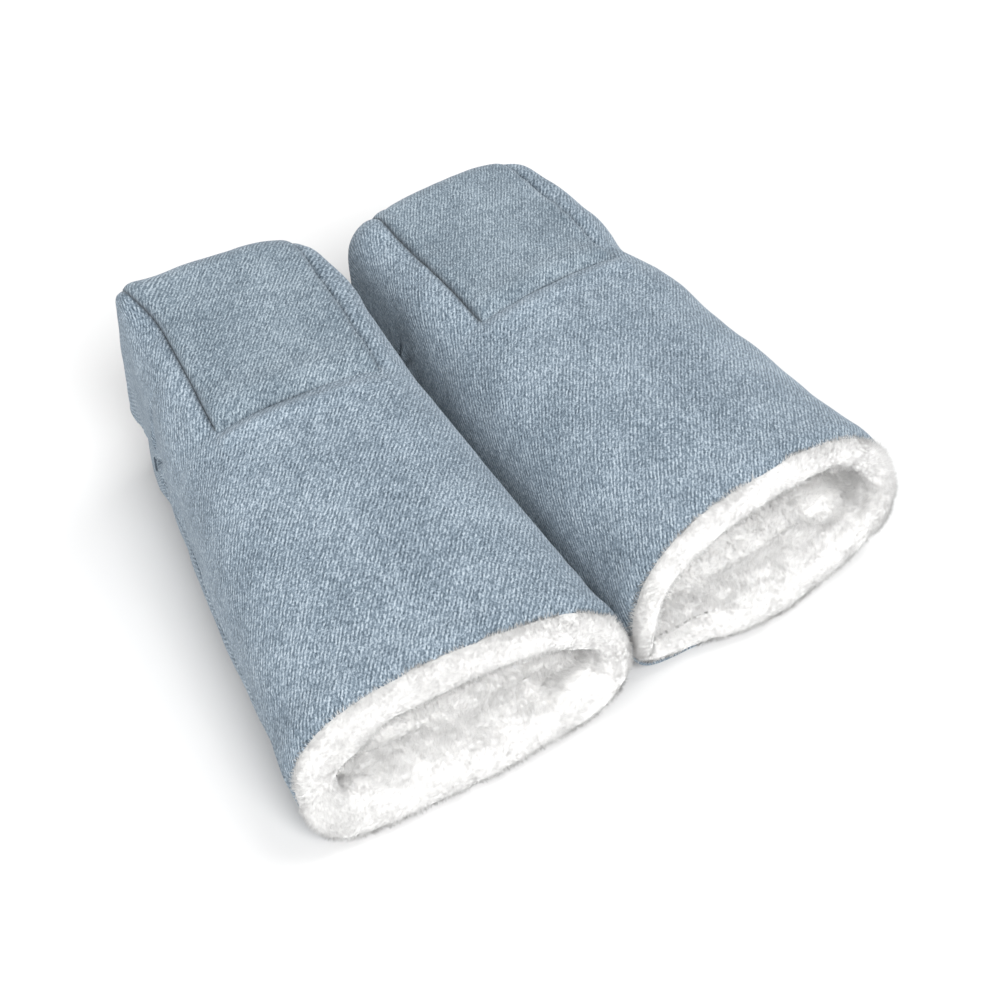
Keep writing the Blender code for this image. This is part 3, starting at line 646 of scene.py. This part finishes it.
# ---- Shell ----
def shell_height(muff, grid, top):
    """How far the cloth stands out from the plain form over a grid, in metres; worked out in millimetres."""
    left = muff.left
    seed = 11 if left else 47
    along, run, across, gap, z = (MM * v for v in (grid.along, grid.run, grid.across, grid.gap, grid.points[..., 2]))
    flat = vec(across, along, 300 if top else 900)
    west = smooth(0.5 - across / 10)
    east = 1 - west
    height = noise(flat, 52, seed) + 0.55 * noise(flat, 21, seed + 1) + 0.22 * noise(flat, 8.5, seed + 2)
    # side seam, wrist to tack
    past = along - MM * TACK_Y
    side = 1 - smooth(past / 4)
    puff = near(run - 5, 3) * (1 + 0.7 * noise(vec(along), 9, seed + 3))
    height -= side * (1.1 * cusp(run, 1.6) - 0.6 * puff)
    # the waist in front of the tack draws in on the left muff's outer side and swells on the right one's
    waist = near(past + 20, 50) * near(run, 45)
    height -= (3.6 * west if left else -1.5 * east) * waist * lerp(0.45, 1, side)
    # turned-in wrist edge, and the swell behind it
    height += 0.7 * near(along - 10, 6) - 1.1 * cusp(along, 2.2)
    # folds that fan out from the tack
    tack = np.hypot(past + 1, run)
    fan = side * west * np.cos(9 * np.arctan2(run, past + 1) + (1 if left else 2.2)) * near(tack - 11, 8)
    if not top:
        height += 0.6 * fan - 1.6 * cusp(tack, 3)
        # the cloth lies flat where it rests on the floor
        height = np.where(z < 4, 0, height * smooth((z - 4) / 12))
        return np.maximum(np.maximum(height, -z) / MM, SHELL_LOWEST)
    fold = along - MM * BODY_LENGTH
    corner = along - MM * muff.corner
    head = smooth(fold / 6)
    toward = smooth(fold / MM / (muff.corner - BODY_LENGTH))
    # the crown's seam, with a puff on each side
    crown = gap > 0
    depth = np.where(crown, 2.5 * cusp(gap, 1), 3.4 * cusp(gap, 1.9))
    puff = np.where(crown, 1.3 * near(gap - 5, 3.6), 0.8 * near(gap + 9, 5))
    gather = 0.6 * noise(vec(along, gap * 0.12), 6.2, seed + 4) * near(gap, 11)
    height += head * ((puff - depth) * (1 - 0.75 * near(corner, 13)) + gather)
    # the gusset sinks beside the seam towards the nose, and bellies out below
    sink = (3 if left else 2) * smooth((-6 - corner) / 22)
    height += head * west * toward * (1.6 * near(gap + 24, 13) - sink * near(gap + 5.5, 6))
    height += head * east * (4.2 if left else 1.2) * near(gap + 17, 14) * near(along - 252, 26)
    if not left:
        height += 3 * west * near(corner, 20) * near(gap + 12, 16)
        height -= 2.6 * west * near(along - 228, 45) * near(run - 16, 20)
        outer_side = east * near(np.maximum(gap, 0), 12) * smooth(run / 20)
        height += outer_side * (2.2 * near(along - 160, 22) - 3.4 * near(along - 200, 13))
    # the crown is fuller in the middle, most at the nose's corner
    dome = 1 - np.minimum(np.abs(across) / 44, 1) ** 2
    height += 3 * head * dome * toward * near(np.maximum(corner, 0), 16)
    # small folds gathered into the seam's far end
    folds = np.sin((across + 0.6 * along) / 1.6) * near(corner + 4, 10)
    height += 0.5 * folds * west * near(gap + (6 if left else -3), 9)
    # the crease across the crown
    inside = smooth((gap + 4) / 8)
    if left:
        start = smooth((36 - across) / 50)
        crease = (1.2 + 1.6 * start) * near(fold + 1.2, 3.6) + 0.9 * start * cusp(fold, 1)
        crease -= 1.8 * near(fold - 12, 8) + (1 + start) * near(fold + 9, 6)
    else:
        crease = 2 * near(fold - 1, 3.4) + 2.6 * near(across - 2, 22) * cusp(fold, 1.1)
        crease -= 1.6 * near(fold - 10, 7) + 1.8 * near(fold + 9, 6)
    height -= inside * crease * (1 + 0.25 * noise(vec(across), 14, seed + 6))
    # a soft pull running on from the crease over the side
    height -= (1 - inside) * west * near(fold - 4, 6) * near(gap, 20)
    height += 1.6 * fan - 1.9 * cusp(tack, 3) - 1.2 * west * near(tack - 6, 4)
    # the nose pressed flat under the press studs, and its hem's stitch line
    seat = MM * (TAB_ROOT_HEIGHT + SNAP_FROM_HINGE)
    pressed = near(np.abs(across) - MM * SNAP_SPACING / 2, 11) * near(z - seat, 14)
    height *= 1 - 0.95 * np.minimum(1.6 * pressed * smooth((corner - 12) / 10), 1)
    height -= 0.7 * near(MM * muff.top.length - fold - 6, 1.8) * smooth(corner / 20)
    return np.maximum(height / MM, SHELL_LOWEST)


def painted_seam_shade(muff, grid):
    """Painted shade: 1 in the bottom of the crown's seams and crease, where the cloth is painted darkest as if in
    shadow.
    """
    gap, fold, across = grid.gap, grid.along - BODY_LENGTH, grid.across
    seam = smooth((fold + 0.001) / 0.004) * cusp(gap, 0.0011) * np.where(across < 0, 1.0, 0.8)
    shown = 0.15 + 0.85 * (near(across + 0.008, 0.026) if muff.left else near(across - 0.002, 0.022))
    return np.maximum(seam, 0.75 * smooth((gap + 0.002) / 0.003) * shown * cusp(fold, 0.001))


def low_corner(points, way):
    """1 at the wrist's lower corner on the side that way (1 or -1) points to, fading away from it."""
    return near(points[..., 2] - 0.006, 0.02) * smooth((way * points[..., 0] + 0.01) / 0.085)


def pulled_corner(muff, points, along):
    """The lower corners of the wrist edge are drawn back and up a little, on the left muff only the +X one."""
    fade = 1 - smooth(along / 0.045)
    pulls = [(1, vec(0, 0.0062, 0.0018))] + [(-1, vec(0, 0.007, 0.0028))] * (not muff.left)
    return points + sum((low_corner(points, way) * fade)[..., None] * pull for way, pull in pulls)


def cloth_flat(muff, grid, part):
    """Flat cloth coordinates of a grid; each panel was cut and stretched a little differently."""
    degrees, scale = CUT[muff.side][part]
    along = grid.along + (0.37 if part == "under" else 0.0)
    return turned(grid.across * scale, along * scale, -radians(degrees))


def flared_nose(muff, grid):
    """The crown's outer corner at the nose stands out over the gusset on the left muff."""
    weight = near(grid.along - muff.corner + 0.002, 0.017) * near(grid.gap + 0.001, 0.014)
    weight *= smooth((-grid.across - 0.022) / 0.02)
    return grid.points + weight[..., None] * vec(-0.0075, 0.0025, 0.0028)


def build_shell(muff):
    for top, counts in SHELL_GRIDS.items():
        grid = half_grid(muff, top, 0.0, counts)
        grid.points = pulled_corner(muff, grid.points, grid.along)
        height = shell_height(muff, grid, top)
        if top and muff.left:
            grid.points = flared_nose(muff, grid)
        outer = grid.points + grid.normal * height[..., None]
        inner = grid.points + grid.normal * (np.minimum(height, 0.0) - SHELL * 0.8)[..., None]
        wrist = [(0, i) for i in range(grid.last[1] + 1)]
        chains = rolled(grid, outer, wrist, vec(0, -1), HEM_ROLL)
        chains.update(rolled(grid, outer, grid.mouth_edge(), vec(0, 0, -1 if top else 1), MOUTH_ROLL))
        # painted shade in the crown's seam grooves and crease
        shade = painted_seam_shade(muff, grid) if top else None
        for part, cells in grid.panels.items():
            obj = closed_panel(f"{muff.side}_{part}_cloth", outer, inner, cells, chains,
                               CLOTH_CROWN_SHADED if part == "crown" else CLOTH, cloth_flat(muff, grid, part), muff,
                               not top, shade)
            settle([obj], "root", "melange_cloth", f"{muff.side}_{part}_shell", f"{muff.side}_{part}_wadding",
                   fill=0.5)


# ---- Plush ----
def tuft_height(points, seed):
    """Plush pile: soft clumps of fibres of several sizes."""
    fine, wide = noise(points, 0.0024, seed + 1), noise(points, 0.022, seed + 2)
    return 0.0003 * noise(points, 0.0055, seed) + 0.0002 * fine + 0.0005 * wide


def mouth_swell(muff, points, along):
    """How much thicker than usual the plush lies at the wrist opening, fading out inside."""
    left, top, right = MOUTH_SHARES[muff.side]
    u = points[..., 0] / (WRIST_WIDTH / 2)
    upper = smooth((points[..., 2] - 0.03) / 0.02) * (1 - smooth((np.abs(u) - 0.45) / 0.4))
    swell = 1 + (left - 1) * smooth((-u - 0.5) / 0.45) + (right - 1) * smooth((u - 0.5) / 0.45) + (top - 1) * upper
    return lerp(swell, 1.0, smooth(along / 0.055))


def painted_deep_shade(along):
    """Painted shade: how much darker the lining's pile is painted from the wrist opening inwards, where less light
    reaches.
    """
    return smooth((along - 0.014) / 0.038)


def build_lining(muff):
    made = {}
    seed = 101 if muff.left else 151
    for top, counts in LINING_GRIDS.items():
        low, high = (half_grid(muff, top, depth, counts) for depth in (PLUSH_TOP, PLUSH_TOP + PLUSH))
        along, across = high.along, high.across
        pile = tuft_height(high.points, seed) + 0.001 * near(high.run, 0.004)
        # the plush lies fuller further in
        fuller = np.abs(high.normal[..., 2]) * smooth(along / 0.055) * (1 - smooth((along - 0.12) / 0.03))
        pile += (0.004 if top else 0.005) * fuller
        # painted shade, growing deeper inside the opening
        shade = painted_deep_shade(along)
        if top and not muff.left:
            # the lining sags in one fold across the opening, with painted shade in the crease along it
            reach = smooth((across + 0.002) / 0.012) * smooth((0.072 - across) / 0.055)
            fold = along - 0.013 - 0.1 * np.maximum(across, 0.0)
            pile += reach * (0.0066 * near(fold, 0.0085) - 0.0035 * cusp(fold - 0.0095, 0.002))
            shade = np.maximum(shade, reach * near(fold - 0.0095, 0.003))
        thick = ((PLUSH_TOP + PLUSH) * mouth_swell(muff, low.points, along) - PLUSH_TOP) / PLUSH
        face = lerp(low.points, high.points - high.normal * pile[..., None], np.maximum(thick, 0.2)[..., None])
        outer, face = (pulled_corner(muff, points, low.along) for points in (low.points, face))
        push = vec(0, 0, -LINING_EDGE if top else LINING_EDGE)
        chains = {place: bulged(outer[place], face[place], push) for place in low.mouth_edge()}
        uv = np.stack([low.across, low.along], axis=-1)
        for part, cells in low.panels.items():
            made[part] = closed_panel(f"{muff.side}_{part}_plush", outer, face, cells, chains, PLUSH_WHITE, uv,
                                      muff, not top, shade)
            settle([made[part]], "root", "plush", f"{muff.side}_{part}_lining", fill=0.6)
    return made


def section_loop(muff, y, depth):
    """A closed loop round the muff at length y, at a depth under the face, evenly spaced."""
    share = max(y, 0.0) / BODY_LENGTH
    upper, lower = muff.body_rib(share, depth).points, muff.floor_rib(share, depth).points
    mirror = np.array([-1, 1, 1])
    ring = np.concatenate([upper, (upper * mirror)[-2::-1], (lower * mirror)[1:], lower[-2:0:-1], upper[:1]])
    runs = runs_along(ring)
    loop = at_runs(np.linspace(0, runs[-1], CUFF_COUNT + 1)[:-1], runs, ring)
    loop[:, 1] += min(y, 0.0)
    return loop


def cuff_inner(row):
    """0 on the roll's outer half and 1 on its inner flank, for its profile rows. The roll's plush is painted darker
    than the lining, as painted shade where it faces the lamps, and its inner flank is painted back up to the
    lining's tone.
    """
    return smooth((row - 18) / 14.0)


def roll_profile():
    """Depth under the face and place along the muff, from under the hem round the roll to the lining."""
    profile = [(0.006, 0.006), (0.0035, 0.004), (0.0022, 0.0015)]
    for angle in np.linspace(0, pi, CUFF_ROWS - ROLL_STEPS - 5):
        depth = CUFF_WALL / 2 + 0.0004 - (CUFF_WALL / 2 - 0.0006) * cos(angle)
        profile.append((depth, -ROLL_REACH * abs(sin(angle)) ** 0.8 - 0.0002))
    shares = [k / ROLL_STEPS for k in range(1, ROLL_STEPS + 1)]
    profile += [(lerp(CUFF_WALL, 0.0118, smooth(share)), ROLL_INSIDE * share) for share in shares]
    return profile + [(0.009, ROLL_INSIDE), (0.007, 0.016)]


def build_cuff(muff):
    """The plush roll round the wrist, from under the hem, out, over and in to the lining."""
    loops = []
    for depth, y in roll_profile():
        rim, loop = (section_loop(muff, y, d) for d in (0.001, depth))
        swell = mouth_swell(muff, rim, y)
        inner = depth > CUFF_WALL / 2
        thick = swell if inner else lerp(1.0, swell, depth / CUFF_WALL * 2)
        if y > 0 and inner:
            bottom = (1 - smooth((rim[:, 2] - 0.004) / 0.012)) * (1 - smooth((np.abs(rim[:, 0]) - 0.055) / 0.025))
            thick = thick * (1 + 0.24 * bottom * smooth(y / ROLL_INSIDE))
        loop = lerp(rim, loop, thick[:, None])
        if not muff.left:
            short = low_corner(rim, -1) * (1 - smooth(y / 0.03))
            loop = loop + short[:, None] * vec(0.0015, 0.0055 if y < 0 else 0.0015, 0.0012)
        loops.append(pulled_corner(muff, loop, y))
    loops = np.array(loops)
    around, along = (np.roll(loops, -1, axis=axis) - np.roll(loops, 1, axis=axis) for axis in (1, 0))
    pile = tuft_height(loops, 201 if muff.left else 251)
    pile[0] = pile[-1] = 0.0
    face = loops + unit(np.cross(around, along)) * pile[..., None]
    face[..., 2] = np.maximum(face[..., 2], 0.0002)
    index = np.arange(CUFF_ROWS * CUFF_COUNT).reshape(CUFF_ROWS, CUFF_COUNT)
    after = np.roll(index, -1, axis=0)
    faces = np.stack([index, np.roll(index, -1, axis=1), np.roll(after, -1, axis=1), after], axis=-1)
    # the roll's painted shade lies on its outer half and is lifted off its inner flank
    obj = new_object(f"{muff.side}_wrist_roll", face.reshape(-1, 3), faces.reshape(-1, 4), ROLL_WHITE_SHADED, muff.matrix,
                     shade=np.repeat(cuff_inner(np.arange(CUFF_ROWS)), CUFF_COUNT))
    settle([obj], "root", "plush", f"{muff.side}_wrist_cuff", fill=0.7)
    return obj


def build_fibres(name, source, count, length, width, seed, keep, material, shade):
    """Single fibres standing on a plush face, each a thin leaning spike."""
    polygons = source.data.polygons

    def read(label, size):
        values = np.empty(len(polygons) * size)
        polygons.foreach_get(label, values)
        return values.reshape(-1, size)

    centre, normal, area = read("center", 3), read("normal", 3), read("area", 1)[:, 0]
    weight = area * keep(centre, normal)
    rng = np.random.default_rng(seed)
    pick = rng.choice(len(area), count, p=weight / weight.sum())
    root = centre[pick] + rng.normal(0, 1, (count, 3)) * np.sqrt(area[pick])[:, None] * 0.35
    up = normal[pick]
    comb = np.stack([noise(root, 0.01, seed + i) for i in (1, 2, 3)], axis=-1)
    way = unit(0.75 * up + 0.9 * comb + rng.normal(0, 0.32, (count, 3)))
    first = unit(np.cross(way, rng.normal(0, 1, (count, 3))))
    second = np.cross(way, first)
    size = length * rng.uniform(0.55, 1.15, (count, 1))
    root = root - up * 0.0007
    half = width * rng.uniform(0.7, 1.2, (count, 1)) / 2
    ring = [root + half * (cos(a) * first + sin(a) * second) for a in (0.0, 2.0944, 4.1888)]
    verts = np.stack(ring + [root + way * size], axis=1)
    verts[..., 2] = np.maximum(verts[..., 2], 0.0003)
    base = np.arange(count)[:, None] * 4
    faces = np.concatenate([base + np.array(f) for f in ((0, 1, 3), (1, 2, 3), (2, 0, 3))])
    tones = np.repeat(shade(pick, root), 4)
    obj = new_object(name, verts.reshape(-1, 3), faces, material, shade=tones)
    obj.data.normals_split_custom_set_from_vertices(np.repeat(up, 4, axis=0).tolist())
    settle([obj], "root", "plush")


def build_piles(muff, cuff, lining):
    seed = 7 if muff.left else 8

    def shown_roll(centre, normal):
        rows = np.arange(len(centre)) // CUFF_COUNT
        return (rows >= 2) & (rows < CUFF_ROWS - 3)

    # the roll's fibres take its painted shade on the outer half
    build_fibres(f"{muff.side}_roll_fibres", cuff, 62000, 0.0036, 0.0004, seed, shown_roll, FIBRE_ROLL_SHADED,
                 lambda pick, root: cuff_inner(pick // CUFF_COUNT))
    def shown_lining(centre, normal):
        y = muff.local_y(centre)
        return (y > 0.004) & (y < PILE_DEPTH) & (normal[:, 2] * way > -0.35)

    for part, way in (("upper", -1), ("under", 1)):
        # the lining's fibres take the same painted shade deeper inside
        build_fibres(f"{muff.side}_{part}_fibres", lining[part], 46000, 0.0042, 0.00042, seed + 20, shown_lining,
                     FIBRE_WHITE, lambda pick, root: painted_deep_shade(muff.local_y(root)))


# ---- Closure ----
def tab_grid(muff, low, high, offset, rows):
    """The tab's face, `offset` outside its inner face."""
    points = []
    for z in np.linspace(low, high, rows + 1):
        lift = lerp(TAB_CLEARANCE, muff.tab_lift(), smooth((z - TAB_ROOT_HEIGHT) / SLOT_GAP))
        half = TAB_WIDTH / 2 * (1 - 0.35 * (max(z - TAB_ROOT_HEIGHT, 0.0) / TAB_HEIGHT) ** 6)
        points.append(vec(np.linspace(-half, half, TAB_COLUMNS + 1), muff.front_line(z) + lift + offset, z))
    return np.array(points)


def tab_border(points, inset):
    """Distance-true line `inset` inside the border of a tab grid, from its lower left corner round the top."""
    top = len(points) - 1 - inset / np.linalg.norm(points[1, 0] - points[0, 0])

    def at(row, share):
        j = min(int(row), len(points) - 2)
        start, end = lerp(points[j], points[j + 1], row - j)[[0, -1]]
        margin = inset / np.linalg.norm(end - start)
        return lerp(start, end, lerp(margin, 1 - margin, share))

    return np.array([at(row, 0.0) for row in np.linspace(STITCH_START, top, 60)]
                    + [at(top, share) for share in np.linspace(0, 1, 40)[1:]]
                    + [at(row, 1.0) for row in np.linspace(top, STITCH_START, 60)[1:]])


def stitches(name, lines, normal, sizes, material, muff):
    """Rows of separate thread stitches half sunk in the cloth along lines."""
    length, gap, radius = sizes
    sides = THREAD_SIDES
    around = [2 * pi * q / sides for q in range(sides)]
    verts, faces = [], []
    for line in lines:
        runs = runs_along(line)
        count = max(int(runs[-1] // (length + gap)), 1)
        for k in range(count):
            middle = (k + 0.5) * runs[-1] / count
            first, last = at_runs([middle - length / 2, middle + length / 2], runs, line)
            side = np.cross(normal, unit(last - first))
            start = len(verts)
            for share in np.linspace(0, 1, THREAD_RINGS):
                thick = radius * sqrt(max(1 - (2 * share - 1) ** 4, 0.02))
                centre = lerp(first, last, share) + normal * radius * (0.9 * sin(pi * share) - 0.35)
                verts += [centre + thick * (cos(a) * side + sin(a) * normal) for a in around]
            for ring in range(start, len(verts) - sides, sides):
                for q in range(sides):
                    a, b = ring + q, ring + (q + 1) % sides
                    faces.append((a, b, b + sides, a + sides))
            faces += [range(start, start + sides)[::-1], range(len(verts) - sides, len(verts))]
    return new_object(name, verts, faces, material, muff.matrix)


def cloth_slab(name, muff, low, high, reach, rows):
    """A flat cloth layer with rounded edges, reach[0] to reach[1] outside the tab's inner face. Its two plain
    faces are handed back with it."""
    inner, outer = (tab_grid(muff, low, high, offset, rows) for offset in reach)
    bump = 0.00016 * noise(outer, 0.009, 5) + 0.0001 * noise(outer, 0.003, 6)
    face = outer + vec(0, 1) * bump[..., None]
    half = np.linalg.norm(outer[0, 0] - inner[0, 0]) / 2
    chains = {}
    for j, i in np.ndindex(rows + 1, TAB_COLUMNS + 1):
        if j in (0, rows) or i in (0, TAB_COLUMNS):
            way = unit(vec(float(i == TAB_COLUMNS) - (i == 0), 0, float(j == rows) - (j == 0)))
            chains[(j, i)] = bulged(face[j, i], inner[j, i], way * half)
    cells = np.ones((rows, TAB_COLUMNS), bool)
    obj = closed_panel(name, face, inner, cells, chains, CLOTH_TAB, outer[..., ::2], muff, True)
    return obj, inner, outer


def lathe(name, profile, material, matrix):
    """A turned piece about +Y from (radius, height) pairs, in tenths of a millimetre, from axis to axis."""
    verts, faces, rings = [], [], []
    turns = [2 * pi * i / LATHE_SIDES for i in range(LATHE_SIDES)]
    for radius, height in np.array(profile) * TENTH:
        ring = [(radius * sin(a), height, radius * cos(a)) for a in (turns if radius else turns[:1])]
        rings.append(range(len(verts), len(verts) + len(ring)))
        verts += ring
    for low, high in zip(rings, rings[1:]):
        for i in range(LATHE_SIDES):
            k = (i + 1) % LATHE_SIDES
            face = [low[i % len(low)], low[k % len(low)], high[k % len(high)], high[i % len(high)]]
            faces.append(list(dict.fromkeys(face)))
    obj = new_object(name, verts, faces, material, matrix)
    obj.data.set_sharp_from_angle(angle=radians(50))
    return obj


def build_tab(muff):
    side = muff.side
    out = vec(0.0, 1.0)
    low, high = TAB_ROOT_HEIGHT + TAB_SEAM_GAP, TAB_ROOT_HEIGHT + TAB_HEIGHT
    for name, reach, way, replaced in (("outer", (TAB_FACE - TAB_CLOTH, TAB_FACE), 1, "closure_tab"),
                                       ("inner", (0.0, TAB_FACING), -1, "closure_tab_facing")):
        obj, *faces = cloth_slab(f"{side}_tab_cloth_{name}", muff, low, high, reach, TAB_ROWS)
        line = tab_border(faces[way > 0], TAB_STITCH_INSET)
        rows = stitches(f"{side}_tab_cloth_{name}_stitches", [line], way * out, STITCH, THREAD_TAB, muff)
        settle([obj, rows], f"{side}_tab", "tab_cloth", f"{side}_{replaced}")
    bottom, top = TAB_ROOT_HEIGHT - TAB_ANCHOR_HEIGHT, TAB_ROOT_HEIGHT - TAB_SEAM_GAP
    anchor, _, front = cloth_slab(f"{side}_anchor_strip", muff, bottom, top, (0.0, TAB_FACE), ANCHOR_ROWS)
    seams = [stitches(f"{side}_anchor_stitches_{k}", [front[j, 2:-2]], out, STITCH, THREAD_TAB, muff)
             for k, j in ((1, 2), (2, 8))]
    settle([anchor] + seams, "root", "tab_cloth", f"{side}_tab_anchor", fill=0.9)


def build_studs(muff):
    """Press studs, each part a turned profile set at its distance from the nose's cloth."""
    seat, normal = muff.stud_seat()
    socket_at = SNAP_CLEARANCE + STUD_FLANGE + SNAP_CLEARANCE
    cap_at = socket_at + SOCKET_THICK + 2 * SNAP_CLEARANCE + TAB_FACE
    post_at = SHELL + 0.0006
    cap = [(0, -34), (20, -34), (20, 0), (58, 0), (62, 2.5), (62.2, 5)]
    cap += [(62 * cos(a), 5 + 7 * sin(a)) for a in np.linspace(0.25, 1.45, 9)] + [(0, 12)]
    stud = [(0, 0), (50, 0), (54, 3), (52, 7), (46, 8), (31, 8), (26, 11), (28, 16), (26, 20), (18, 22), (0, 22)]
    post = [(0, -8), (48, -8), (54, -5), (52, 0), (20, 0), (20, post_at / TENTH), (0, post_at / TENTH)]
    socket = [(0, 18), (31, 18), (31, 3), (36, 0), (50, 0), (56, 3), (58, 10), (58, 22), (54, 26), (0, 26)]
    tab = f"{muff.side}_tab"
    kinds = {"stud": (stud, SNAP_CLEARANCE, "root"), "post": (post, -post_at, "root"),
             "socket": (socket, socket_at, tab), "cap": (cap, cap_at, tab)}
    tilt = Matrix.Rotation(atan2(normal[1], normal[0]), 4, "X")
    for number, way in ((1, -1.0), (2, 1.0)):
        for kind, (profile, reach, body) in kinds.items():
            point = Matrix.Translation(seat * (way, 1, 1) + (0, *normal * reach))
            obj = lathe(f"{muff.side}_press_{kind}_{number}", profile, NICKEL, muff.matrix @ point @ tilt)
            settle([obj], body, "snap_metal", f"{muff.side}_snap_{kind}_{number}")


def build_tacks(muff):
    """Thread wound close, upright over the rear end of each side slot."""
    x, y, z = muff.floor_rib(2.0, 0.0).at(0.0)
    for number, way in ((1, -1.0), (2, 1.0)):
        lines = [vec(way * (x - 0.0002), y - 0.0024 + np.array([-0.0013, 0.0013]), z + lift)
                 for lift in np.linspace(-WRAP_REACH, WRAP_REACH, WRAPS)]
        obj = stitches(f"{muff.side}_tack_threads_{number}", lines, vec(way), WRAP, THREAD, muff)
        settle([obj], "root", "tack_thread", f"{muff.side}_bar_tack_{number}")


# ---- Stage ----
def build_stage():
    mesh = bpy.data.meshes.new("floor")
    corners = [(x * FLOOR_HALF, y * FLOOR_HALF, 0) for x, y in ((-1, -1), (1, -1), (1, 1), (-1, 1))]
    mesh.from_pydata(corners, [], [(0, 1, 2, 3)])
    paint = {"Roughness": 0.9, "Base Color": (0.67, 0.67, 0.67, 1.0), "Specular IOR Level": 0.0}
    mesh.materials.append(Look("floor", paint).material)
    floor = placed("floor", mesh)
    floor.location.z = -0.0003
    world = bpy.data.worlds.new("studio")
    world.use_nodes = True
    background = world.node_tree.nodes["Background"].inputs
    background[0].default_value = (1.0, 1.0, 1.0, 1.0)
    background[1].default_value = WORLD_STRENGTH
    bpy.context.scene.world = world
    for name, (come_from, spread, strength) in SUNS.items():
        data = bpy.data.lights.new(name, "SUN")
        data.angle, data.energy = radians(spread), strength
        lamp = placed(name, data)
        lamp.location = come_from
        lamp.rotation_euler = (-Vector(come_from)).to_track_quat("-Z", "Y").to_euler()
    bpy.context.scene.view_settings.view_transform = "Standard"
    bpy.context.scene.view_settings.look = "None"


def build_camera():
    data = bpy.data.cameras.new("camera")
    data.sensor_width, data.lens = 36.0, CAMERA_LENS * 36.0
    data.clip_start, data.clip_end = 0.05, 50.0
    camera = placed("camera", data)
    matrix = Matrix.Translation(CAMERA_TARGET)
    for degrees, axis in CAMERA_TURNS:
        matrix = matrix @ Matrix.Rotation(radians(degrees), 4, axis)
    camera.matrix_world = matrix @ Matrix.Translation((0, 0, CAMERA_DISTANCE))
    bpy.context.scene.camera = camera


build_camera()
build_stage()
for muff in MUFFS:
    build_shell(muff)
    lining = build_lining(muff)
    cuff = build_cuff(muff)
    build_tab(muff)
    build_studs(muff)
    build_tacks(muff)
    build_piles(muff, cuff, lining)
